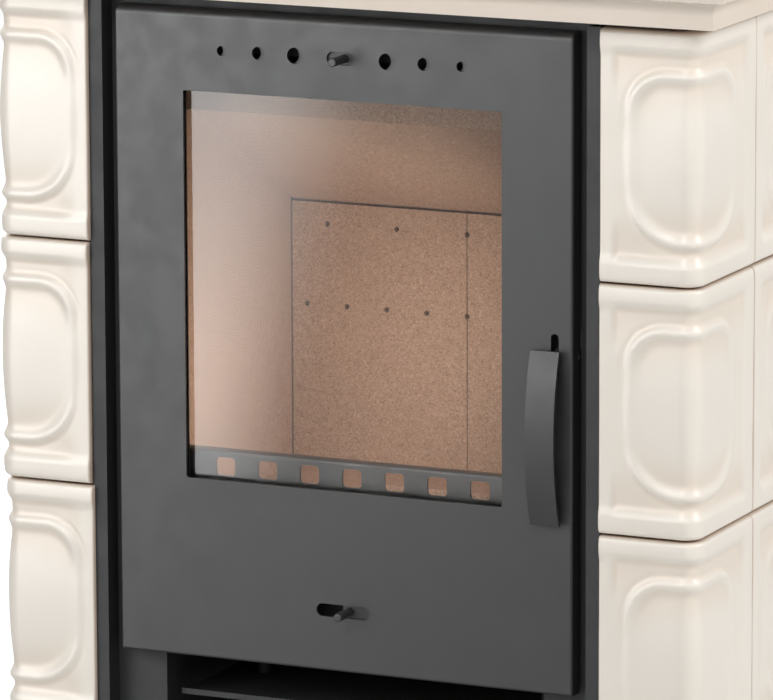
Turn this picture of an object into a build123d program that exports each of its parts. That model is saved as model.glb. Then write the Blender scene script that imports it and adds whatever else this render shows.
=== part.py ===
from build123d import *
import os
from math import sqrt

os.makedirs("parts", exist_ok=True)

# Tiled wood stove. Millimetres, +X to the viewer's right, -Y to the front, +Z up.
# Depths are measured backwards from the front face of the two cover strips.

# ---- Driving dimensions ----------------------------------------------------------------------

# Tiles: a 22 cm module, hollow behind
TILE = 217.5            # height of every tile, and width of the flat one
JOINT = 2.5             # open joint between tiles
ROWS = 4
FRONT_LEG = 92.5        # corner tile, from the cover strip to the outer corner
SIDE_LEG = 129.0        # corner tile, from the outer corner to the first side joint
TILE_DEPTH = 40.0       # crest of the relief to the rear rim
TILE_WALL = 12.0
CORNER_R = 18.0
EDGE_R = 4.0
RELIEF = 5.0            # crest over ground
TILE_PROUD = 1.5        # ground of the relief over the strips
TOP_BAND = 22.0
BOTTOM_BAND = 25.0
SIDE_BAND = 24.0
PLAIN_EDGE = 9.0        # flat margin beside the cover strip
BEAD_R = 8.0            # radius of the ring's round back
BEAD_SINK = 0.3         # the ring stays this much under the border's crest
RING_TOP = 37.5         # crest of the ring below the tile's top edge
RING_BOTTOM = 36.5
RING_FRONT = 22.5       # crest of the ring from the strip side of a corner tile
RING_SIDE = 84.0        # crest of the ring past the outer corner
RING_FLAT = 36.0        # crest of the ring from the sides of a flat tile
RING_R_TOP = 32.0
RING_R_BOTTOM = 44.0

# Base and top
FOOT_H = 15.0           # floor to plinth
FOOT_R = 20.0
FOOT_PAD = 8.0
STEM_R = 5.0
FOOT_INSET = 60.0
PLINTH_H = 45.0
PLINTH_RECESS = 16.0
PLINTH_WALL = 3.0
PLINTH_TOP = 4.0
SLAB_GAP = 7.9          # shadow gap over the top row
SLAB_H = 44.6
FASCIA_H = 12.5         # straight band at the slab's foot
FASCIA_OUT = 20.0       # its overhang over the crest of the tiles
COVE_H = 12.5
COVE_OUT = 33.0         # overhang at the top of the cove
LIP_R = 5.0

# Steel front
OPENING = 489.0         # between the tiles beside the door
TILE_CLEAR = 0.3        # between a tile and the strip beside it
STRIP_W = 13.0
STRIP_T = 2.0
STRIP_SHORT = 6.4       # the strips end this far below the slab
FRAME_DEPTH = 20.0      # front face of the frame plate
FRAME_T = 3.0
NICHE_INSET = 47.7      # log opening from the cover strips
NICHE_TOP = 354.0
SILL = 4.0
FIRE_LAP = 12.0         # fire opening inside the line of the rope seal
FIRE_SILL = 480.0
ASH_LAP = 4.0           # ash opening narrower than the fire opening, each side
ASH_TOP = 432.0

# Fire chamber
BOARD_LAP = 4.0         # faces of the side boards beyond the fire opening
CHAMBER_DEPTH = 270.0   # depth of the face of the back boards
FIRE_FLOOR = 440.0      # top of the steel floor
FIRE_CEILING = 893.0
BOARD = 30.0            # thickness of every lining board
STEEL = 4.0
FIT = 0.3               # play of a loose board, brick, pane or plate
BAFFLE_FRONT = 63.0     # depth of the baffle's front edge
BAFFLE_Z = 833.0        # its lower front edge
BAFFLE_BACK_Z = 721.0   # its underside over the face of the back boards
BAFFLE_GAP = 3.0        # between the back boards and the baffle
AIR_HOLE_R = 2.5
HIGH_AIR_Z = 698.5
HIGH_AIR_PITCH = 70.0
HIGH_AIR_HOLES = 5
LOW_AIR_Z = 623.0
LOW_AIR_PITCH = 40.2
LOW_AIR_HOLES = 9
GRATE = 160.0
GRATE_T = 15.0
GRATE_LEDGE = 10.0      # how far the grate rests on the steel floor
GRATE_SLOT = 8.0
GRATE_BARS = 6
GRATE_DEPTH = 146.0     # depth of the grate's centre

# Ember bar
BAR_H = 56.5            # above the sill of the fire opening
BAR_T = 2.0
BAR_LEDGE = 10.0
BAR_BEND = 3.0
BAR_HOLE_W = 18.5
BAR_HOLE_H = 16.5
BAR_HOLE_R = 3.5
BAR_HOLE_DROP = 14.2    # centres of the holes below the bar's top
BAR_HOLES = 7
BAR_PITCH = 41.0

# Ash box, ash pan, niche
ASH_FLOOR = 378.0       # top of the ash box's floor
ASH_DEPTH = 262.0       # depth of the ash box's rear wall, outside
SHEET = 2.0
PAN_PLAY = 8.0          # from the sides of the ash box
PAN_LEN = 214.0
PAN_H = 50.0
PAN_T = 1.5
PAN_TAB = 12.0
PAN_TAB_W = 90.0
LINER_BACK = 340.0
SHIELD_PLAY = 7.5       # from the sides of the niche
SHIELD_Z = 307.0
SHIELD_FRONT = 34.0
SHIELD_LEN = 266.0
SHIELD_LIP = 5.0
SPACER_R = 6.0
SPACER_INSET = 28.0
SPACER_DEPTH = 130.0    # front pair, out of sight of the niche's mouth

# Flue and air supply
FLUE_R = 74.5           # outside of the collar, for a 150 mm pipe
FLUE_WALL = 4.0
FLUE_DEPTH = 222.0
FLUE_OUT = 40.0         # above the slab
FLUE_SHOULDER = 2.0     # the stovepipe stops on it, level with the slab
FLUE_FLANGE = 18.0
FLUE_FLANGE_T = 6.0
SLAB_HOLE_CLEAR = 12.0
AIR_R = 49.5            # outside of the spigot, for a 100 mm pipe
AIR_WALL = 2.0
AIR_Z = 300.0
AIR_OUT = 58.0          # behind the back panel
AIR_FLANGE = 12.0
AIR_FLANGE_T = 3.0
REAR_LAP = 21.0         # back panel over the casing's rear flange

# Door
DOOR_GAP = 12.7
DOOR_BOTTOM = 351.8
DOOR_H = 580.3
DOOR_T = 2.5
DOOR_DEPTH = 16.5
DOOR_TOP_R = 7.0        # bent upper edge
DOOR_EDGE_R = 2.4
WINDOW_STILE = 66.3     # from the door's sides
WINDOW_H = 346.5
WINDOW_SILL = 162.1     # above the door's lower edge
WINDOW_R = 2.0
AIR_LINE = 35.1         # row of air holes below the door's upper edge
AIR_SIZES = [7.25, 5.75, 4.5]   # hole radii, from the middle outwards
AIR_FIRST = 43.7
AIR_STEP = 35.3
PIN_SLOT_L = 26.3
PIN_SLOT_H = 11.5
LOW_LINE = 54.7         # lower slot above the door's lower edge
LOW_SLOT_L = 51.4
LOW_SLOT_H = 11.5

# Glass
GLASS_LAP = 12.0
GLASS_T = 4.0
GASKET_T = 6.0
GASKET_W = 10.0
RETAINER_T = 2.0
RETAINER_W = 18.0
SCREW_R = 2.0
SCREW_HEAD_R = 4.0
SCREW_HEAD_H = 2.5

# Rope seal
ROPE_W = 10.0
ROPE_INSET = 34.5       # centre line from the door's sides
ROPE_LOW = 365.0
ROPE_HIGH = 917.0
ROPE_BEND = 14.0
ROPE_SEAT = 9.0         # depth of the rope's back
ROPE_FREE = 0.3         # from the frame plate
CHANNEL_T = 1.5
CHANNEL_END = 14.5

# Sliders
SLIDE_T = 1.5
SLIDE_PLAY = 0.3
SLIDE_H = 18.0
HIGH_SLIDE_L = 254.0
HIGH_SHIFT = -4.0       # holes of the slider against those of the door, as photographed
HIGH_PIN_X = 3.0
LOW_SLIDE_L = 63.0
LOW_SLIDE_X = -1.0      # left end of the lower slider
LOW_PIN_X = 5.5
PIN_R = 3.8
PIN_OUT = 24.0
GUIDE_W = 2.0
GUIDE_T = 1.2
GUIDE_LIP = 1.4
HIGH_GUIDE_L = 290.0
LOW_GUIDE_X = 20.0
LOW_GUIDE_L = 145.0

# Hinge
HINGE_X = 6.5           # axis from the door's left edge
HINGE_DEPTH = 10.5
HINGE_PIN_R = 3.0
HINGE_RUN = 0.05        # running clearance of the pins
KNUCKLE_R = 5.0
KNUCKLE_T = 6.0
HINGE_HEIGHTS = [78.0, 500.0]   # above the door's lower edge
EAR_T = 3.0
EAR_PLAY = 0.2
EAR_REACH = 16.0
EAR_FOOT = 2.0
NOTCH = 26.0            # cut in the door's left edge for each knuckle

# Handle and latch
SHAFT_R = 4.0
SHAFT_RUN = 0.08
SHAFT_DEPTH = 10.9
SHAFT_Z = 650.0
SHAFT_L = 25.0
SHAFT_SHORT = 1.5       # its outer end inside the door's edge
HUB_R = 7.0
ARM_INSET = 19.2        # left face of the arm from the door's right edge
ARM_T = 5.0
ARM_H = 10.0
HANDLE_INSET = 23.0     # middle of the grip from the door's right edge
HANDLE_W = 27.0
HANDLE_T = 3.0
HANDLE_TOP = 656.5
HANDLE_LEN = 153.5
HANDLE_END = 4.5        # gap from the door at both ends
HANDLE_BOW = 12.5
HANDLE_SLOT_W = 7.5
HANDLE_SLOT_H = 38.7
HANDLE_SLOT_Z = 651.3
HOOK_INSET = 7.1        # left face of the hook from the door's right edge
HOOK_T = 4.0
HOOK_H = 8.0
HOOK_REACH = 27.0       # depth of the hook's nose
HOOK_NOSE = 1.0
CATCH_PLAY = 2.0
CATCH_TOP = 6.0
CATCH_DROP = 22.0
BEARING_T = 3.0

# ---- Values that follow ----------------------------------------------------------------------

HALF_OPENING = OPENING / 2
HALF_BODY = HALF_OPENING + FRONT_LEG
STRIP_OUT = HALF_OPENING - TILE_CLEAR
STRIP_IN = STRIP_OUT - STRIP_W
HALF_DOOR = STRIP_IN - DOOR_GAP
TILE_FRONT = -(TILE_PROUD + RELIEF)
BODY_DEPTH = SIDE_LEG + JOINT + TILE + JOINT + FRONT_LEG
TILE_REAR = TILE_FRONT + BODY_DEPTH
PANEL_REAR = TILE_REAR - TILE_DEPTH
AIR_END = PANEL_REAR + AIR_OUT

# The origin is under the middle of the whole stove, so the depths are shifted forwards
FRONT_Y = -(TILE_FRONT - COVE_OUT + AIR_END) / 2

PLINTH_Z = FOOT_H + PLINTH_H
MODULE = TILE + JOINT
TILE_TOP = PLINTH_Z + ROWS * MODULE - JOINT
SLAB_Z = TILE_TOP + SLAB_GAP
SLAB_TOP = SLAB_Z + SLAB_H

FRAME_BACK = FRAME_DEPTH + FRAME_T
ROPE_SIDE = HALF_DOOR - ROPE_INSET
HALF_OPEN = ROPE_SIDE - FIRE_LAP
HALF_ASH = HALF_OPEN - ASH_LAP
HALF_NICHE = STRIP_IN - NICHE_INSET
HALF_FIRE = HALF_OPEN + BOARD_LAP
SHELL_IN = HALF_FIRE + BOARD + FIT
SHELL_OUT = SHELL_IN + STEEL
SHELL_BACK = CHAMBER_DEPTH + BOARD + FIT
BAFFLE_FALL = (BAFFLE_Z - BAFFLE_BACK_Z) / (CHAMBER_DEPTH - BAFFLE_FRONT)
BAFFLE_RISE = BOARD * sqrt(1 + BAFFLE_FALL**2)

DOOR_TOP = DOOR_BOTTOM + DOOR_H
WINDOW_Z0 = DOOR_BOTTOM + WINDOW_SILL
WINDOW_Z1 = WINDOW_Z0 + WINDOW_H
HALF_WINDOW = HALF_DOOR - WINDOW_STILE
AIR_LINE_Z = DOOR_TOP - AIR_LINE
LOW_LINE_Z = DOOR_BOTTOM + LOW_LINE
GLASS_DEPTH = DOOR_T + GASKET_T
RETAINER_DEPTH = GLASS_DEPTH + GLASS_T
SLIDE_DEPTH = DOOR_T + SLIDE_PLAY
BAR_TOP = FIRE_SILL + BAR_H
AXIS_X = -HALF_DOOR + HINGE_X
SHAFT_END = HALF_DOOR - SHAFT_SHORT
SHAFT_X = SHAFT_END - SHAFT_L
ARM_X = HALF_DOOR - ARM_INSET
HANDLE_X = HALF_DOOR - HANDLE_INSET
HOOK_X = HALF_DOOR - HOOK_INSET


def deep(depth):
    """Y of a depth behind the face of the cover strips."""
    return FRONT_Y + depth


# ---- Shapes used by many pieces --------------------------------------------------------------

def block(x, depth, z):
    """Box between two values of x, depth and z."""
    size = (x[1] - x[0], depth[1] - depth[0], z[1] - z[0])
    middle = (sum(x) / 2, deep(sum(depth) / 2), sum(z) / 2)
    return Pos(*middle) * Box(*size)


def rod_x(x, depth, z, radius):
    return Pos(sum(x) / 2, deep(depth), z) * Rot(0, 90, 0) * Cylinder(radius, x[1] - x[0])


def rod_y(x, depth, z, radius):
    length = depth[1] - depth[0]
    return Pos(x, deep(sum(depth) / 2), z) * Rot(90, 0, 0) * Cylinder(radius, length)


def rod_z(x, depth, z, radius):
    return Pos(x, deep(depth), sum(z) / 2) * Cylinder(radius, z[1] - z[0])


def rounded_y(x, depth, z, radius):
    """Plate with rounded corners, seen from the front."""
    outline = RectangleRounded(x[1] - x[0], z[1] - z[0], radius)
    half = (depth[1] - depth[0]) / 2
    middle = (sum(x) / 2, deep(sum(depth) / 2), sum(z) / 2)
    return Pos(*middle) * Rot(90, 0, 0) * extrude(outline, amount=half, both=True)


def frame_y(half_width, z, band, depth, radius):
    """Flat ring, seen from the front, with its band inside the given outline."""
    inner_r = max(radius - band, 0.5)
    outer = rounded_y((-half_width, half_width), depth, z, radius)
    inner = rounded_y((band - half_width, half_width - band), depth,
                      (z[0] + band, z[1] - band), inner_r)
    return outer - inner


def side_profile(points, x):
    """Solid with an outline of (depth, z) points, between two values of x."""
    corners = [(deep(d), z) for d, z in points]
    face = make_face(Polyline(*corners, close=True))
    return Plane.YZ.offset(x[0]) * extrude(face, amount=x[1] - x[0])


def mirrored(shape):
    """The same piece on the other side of the stove."""
    return mirror(shape, about=Plane.YZ)


# ---- Tiles -----------------------------------------------------------------------------------

def quarter(start, middle_of_turn, end):
    """Quarter turn between two points, about the given centre."""
    centre = Vector(*middle_of_turn)
    outward = (Vector(*start) - centre) + (Vector(*end) - centre)
    on_arc = centre + outward.normalized() * (Vector(*start) - centre).length
    return Edge.make_three_point_arc(start, on_arc, end)


def bead(corners):
    """Round ridge through straight runs and quarter turns; corners are (start, centre, end)."""
    edges = []
    for i, (start, centre, end) in enumerate(corners):
        edges.append(quarter(start, centre, end))
        edges.append(Edge.make_line(end, corners[(i + 1) % len(corners)][0]))
    section = Plane(origin=corners[0][0], z_dir=(0, 0, 1)) * Circle(BEAD_R)
    return sweep(section, path=Wire(edges))


def corner_bead():
    """Ring of the relief, laid round the outer corner of the tile."""
    d = BEAD_R + BEAD_SINK
    left, right = RING_FRONT - FRONT_LEG, RING_SIDE
    low, high = RING_BOTTOM, TILE - RING_TOP
    t, b = RING_R_TOP, RING_R_BOTTOM
    r = CORNER_R
    return bead([
        ((left, d, high - t), (left + t, d, high - t), (left + t, d, high)),
        ((-r, d, high), (-r, r, high), (-d, r, high)),
        ((-d, right - t, high), (-d, right - t, high - t), (-d, right, high - t)),
        ((-d, right, low + b), (-d, right - b, low + b), (-d, right - b, low)),
        ((-d, r, low), (-r, r, low), (-r, d, low)),
        ((left + b, d, low), (left + b, d, low + b), (left, d, low + b)),
    ])


def flat_bead():
    """Ring of the relief on a flat tile."""
    d = BEAD_R + BEAD_SINK
    side = TILE / 2 - RING_FLAT
    low, high = RING_BOTTOM, TILE - RING_TOP
    t, b = RING_R_TOP, RING_R_BOTTOM
    return bead([
        ((-side, d, high - t), (t - side, d, high - t), (t - side, d, high)),
        ((side - t, d, high), (side - t, d, high - t), (side, d, high - t)),
        ((side, d, low + b), (side - b, d, low + b), (side - b, d, low)),
        ((b - side, d, low), (b - side, d, low + b), (-side, d, low + b)),
    ])


def corner_layer(front, side, z, sink):
    """L-shaped solid behind the outer faces of a corner tile, sunk by a given depth."""
    outline = Polyline((-front, sink), (-sink, sink), (-sink, side), (-TILE_DEPTH, side),
                       (-TILE_DEPTH, TILE_DEPTH), (-front, TILE_DEPTH), close=True)
    solid = Pos(0, 0, z[0]) * extrude(make_face(outline), amount=z[1] - z[0])
    upright = solid.edges().filter_by(Axis.Z)
    outer = upright.sort_by_distance((-sink, sink, sum(z) / 2))[0]
    return fillet(outer, CORNER_R - sink)


def corner_border(edge):
    """True for the border edges of a corner tile's two outer faces."""
    c = edge.center()
    outer = abs(c.X) < 0.01 or abs(c.Y) < 0.01 or edge.geom_type == GeomType.CIRCLE
    upright = abs(c.Z - TILE / 2) < 0.01
    at_end = abs(c.X + FRONT_LEG) < 0.01 or abs(c.Y - SIDE_LEG) < 0.01
    return outer and (at_end or not upright)


def corner_tile():
    """Corner tile with its outer corner at the origin: front leg to -X, side leg to +Y."""
    body = corner_layer(FRONT_LEG, SIDE_LEG, (0, TILE), 0)
    body = fillet([e for e in body.edges() if corner_border(e)], EDGE_R)
    field = corner_layer(FRONT_LEG, SIDE_LEG - SIDE_BAND, (BOTTOM_BAND, TILE - TOP_BAND), 0)
    ground = corner_layer(FRONT_LEG, SIDE_LEG, (0, TILE), RELIEF)
    margin = Pos(PLAIN_EDGE / 2 - FRONT_LEG, 0, TILE / 2) * Box(PLAIN_EDGE, 2 * RELIEF, TILE)
    hollow = corner_layer(FRONT_LEG - TILE_WALL, SIDE_LEG - TILE_WALL,
                          (TILE_WALL, TILE - TILE_WALL), TILE_WALL + RELIEF)
    return body - (field - ground) - margin + corner_bead() - hollow


def flat_tile():
    """Flat tile, its outer face on the XZ plane and its lower edge at the origin."""
    body = Pos(0, TILE_DEPTH / 2, TILE / 2) * Box(TILE, TILE_DEPTH, TILE)
    body = fillet(body.faces().sort_by(Axis.Y)[0].edges(), EDGE_R)
    field_w = TILE - 2 * SIDE_BAND
    field_h = TILE - TOP_BAND - BOTTOM_BAND
    field = Pos(0, 0, BOTTOM_BAND + field_h / 2) * Box(field_w, 2 * RELIEF, field_h)
    hollow_size = TILE - 2 * TILE_WALL
    hollow_from = TILE_WALL + RELIEF
    hollow = Pos(0, (hollow_from + TILE_DEPTH) / 2, TILE / 2) * Box(
        hollow_size, TILE_DEPTH - hollow_from, hollow_size)
    return body - field + flat_bead() - hollow


def row_z(row):
    """Lower edge of a row of tiles; row 1 is the lowest."""
    return PLINTH_Z + (row - 1) * MODULE


def tiles():
    """Every tile: four columns at the corners and one on each side."""
    corner = corner_tile()
    flat = flat_tile()
    side_middle = TILE_FRONT + SIDE_LEG + JOINT + TILE / 2
    front_right = Pos(HALF_BODY, deep(TILE_FRONT), 0) * corner
    side_right = Pos(HALF_BODY, deep(side_middle), 0) * Rot(0, 0, 90) * flat
    rear_right = Pos(HALF_BODY, deep(TILE_REAR), 0) * Rot(0, 0, 90) * corner
    rows = range(1, ROWS + 1)
    found = {}
    for row in rows:
        up = Pos(0, 0, row_z(row))
        found[f"tile_front_right_{row}"] = up * front_right
        found[f"tile_front_left_{row}"] = up * mirrored(front_right)
        found[f"tile_side_right_{row}"] = up * side_right
        found[f"tile_side_left_{row}"] = up * mirrored(side_right)
    column = [Pos(0, 0, row_z(row)) * rear_right for row in rows]
    found["tiles_rear_right"] = Compound(children=column)
    found["tiles_rear_left"] = Compound(children=[mirrored(tile) for tile in column])
    return found


# ---- Base and top ----------------------------------------------------------------------------

def plinth():
    """Steel tray turned upside down, set back under the tiles."""
    half = HALF_BODY - PLINTH_RECESS
    depth = (TILE_FRONT + PLINTH_RECESS, TILE_REAR - PLINTH_RECESS)
    inner = (depth[0] + PLINTH_WALL, depth[1] - PLINTH_WALL)
    inner_half = half - PLINTH_WALL
    shell = block((-half, half), depth, (FOOT_H, PLINTH_Z))
    return shell - block((-inner_half, inner_half), inner, (FOOT_H, PLINTH_Z - PLINTH_TOP))


def levelling_feet():
    """Four pads on threaded stems, under the plinth's top."""
    x = HALF_BODY - FOOT_INSET
    feet = []
    for side in (-x, x):
        for depth in (TILE_FRONT + FOOT_INSET, TILE_REAR - FOOT_INSET):
            pad = rod_z(side, depth, (0, FOOT_PAD), FOOT_R)
            stem = rod_z(side, depth, (FOOT_PAD, PLINTH_Z - PLINTH_TOP), STEM_R)
            feet.append(pad + stem)
    return Compound(children=feet)


def slab_outline(inner, outer, with_back):
    """Section of the slab's moulded edge; inner is the crest of the tiles."""
    def edge(sign, face):
        return [(face + sign * FASCIA_OUT, SLAB_Z),
                (face + sign * FASCIA_OUT, SLAB_Z + FASCIA_H)]
    left = edge(-1, inner)
    right = [(outer, SLAB_Z)] if with_back else edge(1, outer)
    cove_top = SLAB_Z + FASCIA_H + COVE_H
    lines = Polyline(*left[::-1], *right)
    curve = (inner - COVE_OUT, cove_top)
    hollow_left = Spline(left[1], curve, tangents=[(0, 1), (-1, 0.25)])
    lip_left = Line(curve, (inner - COVE_OUT, SLAB_TOP))
    if with_back:
        rest = Polyline((inner - COVE_OUT, SLAB_TOP), (outer, SLAB_TOP), (outer, SLAB_Z))
        return make_face(lines + hollow_left + lip_left + rest)
    curve_right = (outer + COVE_OUT, cove_top)
    hollow_right = Spline(right[1], curve_right, tangents=[(0, 1), (1, 0.25)])
    rest = Polyline((inner - COVE_OUT, SLAB_TOP), (outer + COVE_OUT, SLAB_TOP), curve_right)
    return make_face(lines + hollow_left + lip_left + rest + hollow_right)


def top_slab():
    """Glazed slab with a coved edge on three sides, mitred at the corners, and the flue hole."""
    across = Plane.XZ * slab_outline(-HALF_BODY, HALF_BODY, False)
    along = Plane.YZ * slab_outline(deep(TILE_FRONT), deep(TILE_REAR), True)
    reach = 2 * (HALF_BODY + BODY_DEPTH)
    slab = extrude(across, amount=reach, both=True) & extrude(along, amount=reach, both=True)
    rim = slab.faces().sort_by(Axis.Z)[-1].edges().sort_by(Axis.Y)[:-1]
    slab = fillet(rim, LIP_R)
    hole = rod_z(0, FLUE_DEPTH, (SLAB_Z, SLAB_TOP), FLUE_R + SLAB_HOLE_CLEAR)
    return slab - hole


# ---- Steel body ------------------------------------------------------------------------------

def cover_strip_right():
    """Folded channel beside the door, open to the back."""
    z = (PLINTH_Z, SLAB_Z - STRIP_SHORT)
    end = TILE_FRONT + TILE_DEPTH + SHEET
    outer = block((STRIP_IN, STRIP_OUT), (0, end), z)
    room = block((STRIP_IN + STRIP_T, STRIP_OUT - STRIP_T), (STRIP_T, end), z)
    inner_wing = block((STRIP_IN, STRIP_IN + STRIP_T), (FRAME_BACK, end), z)
    return outer - room - inner_wing


def side_casing_right():
    """Folded side of the body: the tiles are hung on it, front, side and rear."""
    z = (PLINTH_Z, SLAB_Z)
    x = HALF_BODY - TILE_DEPTH
    front = TILE_FRONT + TILE_DEPTH
    rear_x = HALF_BODY - SIDE_LEG - REAR_LAP
    outline = block((rear_x, x), (front, PANEL_REAR), z)
    room = block((rear_x, x - SHEET), (front + SHEET, PANEL_REAR - SHEET), z)
    front_cut = block((rear_x, STRIP_OUT), (front, front + SHEET), z)
    return outline - room - front_cut


def back_panel():
    """Rear sheet between the rear tiles, with the hole of the air supply."""
    half = HALF_BODY - SIDE_LEG - FIT
    sheet = block((-half, half), (PANEL_REAR, PANEL_REAR + SHEET), (PLINTH_Z, SLAB_Z))
    bore = rod_y(0, (PANEL_REAR, PANEL_REAR + SHEET), AIR_Z, AIR_R - AIR_WALL)
    return sheet - bore


def hook_window(depth):
    """Window in the frame plate that the latch hook reaches through."""
    x = (HOOK_X - CATCH_PLAY, HOOK_X + HOOK_T + CATCH_PLAY)
    return block(x, depth, (SHAFT_Z - CATCH_DROP, SHAFT_Z + CATCH_TOP))


def front_frame():
    """Plate behind the door, with openings for the fire, the ash pan and the logs."""
    depth = (FRAME_DEPTH, FRAME_BACK)
    plate = block((-STRIP_IN, STRIP_IN), depth, (PLINTH_Z, SLAB_Z))
    niche = block((-HALF_NICHE, HALF_NICHE), depth, (PLINTH_Z + SILL, NICHE_TOP))
    ash = block((-HALF_ASH, HALF_ASH), depth, (ASH_FLOOR, ASH_TOP))
    fire = block((-HALF_OPEN, HALF_OPEN), depth, (FIRE_SILL, FIRE_CEILING))
    return plate - niche - ash - fire - hook_window(depth)


def niche_liner():
    """Folded sheet behind the front frame: sides and back of the log niche."""
    half = HALF_NICHE
    z = (PLINTH_Z, FIRE_FLOOR - STEEL)
    outer = block((-half - SHEET, half + SHEET), (FRAME_BACK, LINER_BACK), z)
    return outer - block((-half, half), (FRAME_BACK, LINER_BACK - SHEET), z)


def heat_shield():
    """Plate under the ash box that keeps the logs cool, with a turned-up front lip."""
    half = HALF_NICHE - SHIELD_PLAY
    x = (-half, half)
    depth = (SHIELD_FRONT, SHIELD_FRONT + SHIELD_LEN)
    sheet = block(x, depth, (SHIELD_Z, SHIELD_Z + SHEET))
    lip = block(x, (SHIELD_FRONT, SHIELD_FRONT + SHEET), (SHIELD_Z, SHIELD_Z + SHIELD_LIP))
    return sheet + lip


def shield_spacers():
    """Four tubes between the ash box and the heat shield."""
    x = HALF_ASH - SPACER_INSET
    z = (SHIELD_Z + SHEET, ASH_FLOOR - SHEET)
    depths = (SPACER_DEPTH, ASH_DEPTH - SPACER_INSET)
    return Compound(children=[rod_z(side, d, z, SPACER_R) for side in (-x, x) for d in depths])


# ---- Fire chamber ----------------------------------------------------------------------------

def firebox_shell():
    """Welded steel box, open to the front, with the grate hole and the flue hole."""
    depth = (FRAME_BACK, SHELL_BACK + STEEL)
    outer = block((-SHELL_OUT, SHELL_OUT), depth, (FIRE_FLOOR - STEEL, FIRE_CEILING + STEEL))
    room = block((-SHELL_IN, SHELL_IN), (FRAME_BACK, SHELL_BACK), (FIRE_FLOOR, FIRE_CEILING))
    half = GRATE / 2 - GRATE_LEDGE
    fall = block((-half, half), (GRATE_DEPTH - half, GRATE_DEPTH + half),
                 (FIRE_FLOOR - STEEL, FIRE_FLOOR))
    flue = rod_z(0, FLUE_DEPTH, (FIRE_CEILING, FIRE_CEILING + STEEL), FLUE_R - FLUE_WALL)
    return outer - room - fall - flue


def side_board_right():
    """Lining board; the baffle lies on its sloped upper edge."""
    back = CHAMBER_DEPTH - FIT
    front = FRAME_BACK + FIT
    back_z = BAFFLE_Z - BAFFLE_FALL * (back - BAFFLE_FRONT)
    outline = [(front, FIRE_FLOOR), (back, FIRE_FLOOR), (back, back_z),
               (BAFFLE_FRONT, BAFFLE_Z), (front, BAFFLE_Z)]
    return side_profile(outline, (HALF_FIRE, HALF_FIRE + BOARD))


def air_holes(count, pitch, z):
    """Row of air holes through the back boards."""
    depth = (CHAMBER_DEPTH, CHAMBER_DEPTH + BOARD)
    first = -(count - 1) / 2
    return [rod_y((first + i) * pitch, depth, z, AIR_HOLE_R) for i in range(count)]


def back_board_right():
    """Right half of the back lining; both halves meet in the middle."""
    face_z = BAFFLE_BACK_Z - BAFFLE_GAP
    outline = [(CHAMBER_DEPTH, FIRE_FLOOR), (CHAMBER_DEPTH + BOARD, FIRE_FLOOR),
               (CHAMBER_DEPTH + BOARD, face_z - BAFFLE_FALL * BOARD), (CHAMBER_DEPTH, face_z)]
    board = side_profile(outline, (FIT / 2, HALF_FIRE + BOARD))
    holes = air_holes(HIGH_AIR_HOLES, HIGH_AIR_PITCH, HIGH_AIR_Z)
    holes += air_holes(LOW_AIR_HOLES, LOW_AIR_PITCH, LOW_AIR_Z)
    return board - holes


def hearth_bricks():
    """Four bricks round the grate."""
    z = (FIRE_FLOOR, FIRE_FLOOR + BOARD)
    half = HALF_FIRE - FIT
    well = GRATE / 2 + FIT
    front, back = FRAME_BACK + FIT, CHAMBER_DEPTH - FIT
    near, far = GRATE_DEPTH - well, GRATE_DEPTH + well
    bricks = [block((-half, -well), (front, back), z), block((well, half), (front, back), z),
              block((-well, well), (front, near), z), block((-well, well), (far, back), z)]
    return Compound(children=bricks)


def grate():
    """Cast grate over the ash hole."""
    half = GRATE / 2
    plate = block((-half, half), (GRATE_DEPTH - half, GRATE_DEPTH + half),
                  (FIRE_FLOOR, FIRE_FLOOR + GRATE_T))
    run = half - 2 * GRATE_LEDGE
    pitch = 2 * run / GRATE_BARS
    slots = [block((x - GRATE_SLOT / 2, x + GRATE_SLOT / 2), (GRATE_DEPTH - run, GRATE_DEPTH + run),
                   (FIRE_FLOOR, FIRE_FLOOR + GRATE_T))
             for x in [(i - GRATE_BARS / 2) * pitch for i in range(GRATE_BARS + 1)]]
    return plate - slots


def baffle():
    """Sloped board that turns the smoke forwards, lying on the side boards."""
    end = SHELL_BACK - FIT
    end_z = BAFFLE_Z - BAFFLE_FALL * (end - BAFFLE_FRONT)
    outline = [(BAFFLE_FRONT, BAFFLE_Z), (end, end_z), (end, end_z + BAFFLE_RISE),
               (BAFFLE_FRONT, BAFFLE_Z + BAFFLE_RISE)]
    half = HALF_FIRE + BOARD
    return side_profile(outline, (-half, half))


def ember_bar():
    """Bent sheet across the foot of the fire opening, with a row of square holes."""
    half = HALF_OPEN - FIT
    face = (FRAME_DEPTH + SHEET / 2, FRAME_DEPTH + SHEET / 2 + BAR_T)
    sheet = block((-half, half), face, (FIRE_SILL, BAR_TOP))
    ledge = block((-half, half), (face[0], face[1] + BAR_LEDGE), (BAR_TOP - BAR_T, BAR_TOP))
    bar = sheet + ledge
    bend = bar.edges().filter_by(Axis.X).sort_by_distance((0, deep(face[0]), BAR_TOP))[0]
    bar = fillet(bend, BAR_BEND)
    half_w, half_h = BAR_HOLE_W / 2, BAR_HOLE_H / 2
    z = (BAR_TOP - BAR_HOLE_DROP - half_h, BAR_TOP - BAR_HOLE_DROP + half_h)
    for i in range(BAR_HOLES):
        x = (i - (BAR_HOLES - 1) / 2) * BAR_PITCH
        bar = bar - rounded_y((x - half_w, x + half_w), face, z, BAR_HOLE_R)
    return bar


def ash_box():
    """Welded trough under the grate."""
    half = HALF_ASH + SHEET
    z = (ASH_FLOOR - SHEET, FIRE_FLOOR - STEEL)
    outer = block((-half, half), (FRAME_BACK, ASH_DEPTH), z)
    room = block((-HALF_ASH, HALF_ASH), (FRAME_BACK, ASH_DEPTH - SHEET), (ASH_FLOOR, z[1]))
    return outer - room


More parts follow.
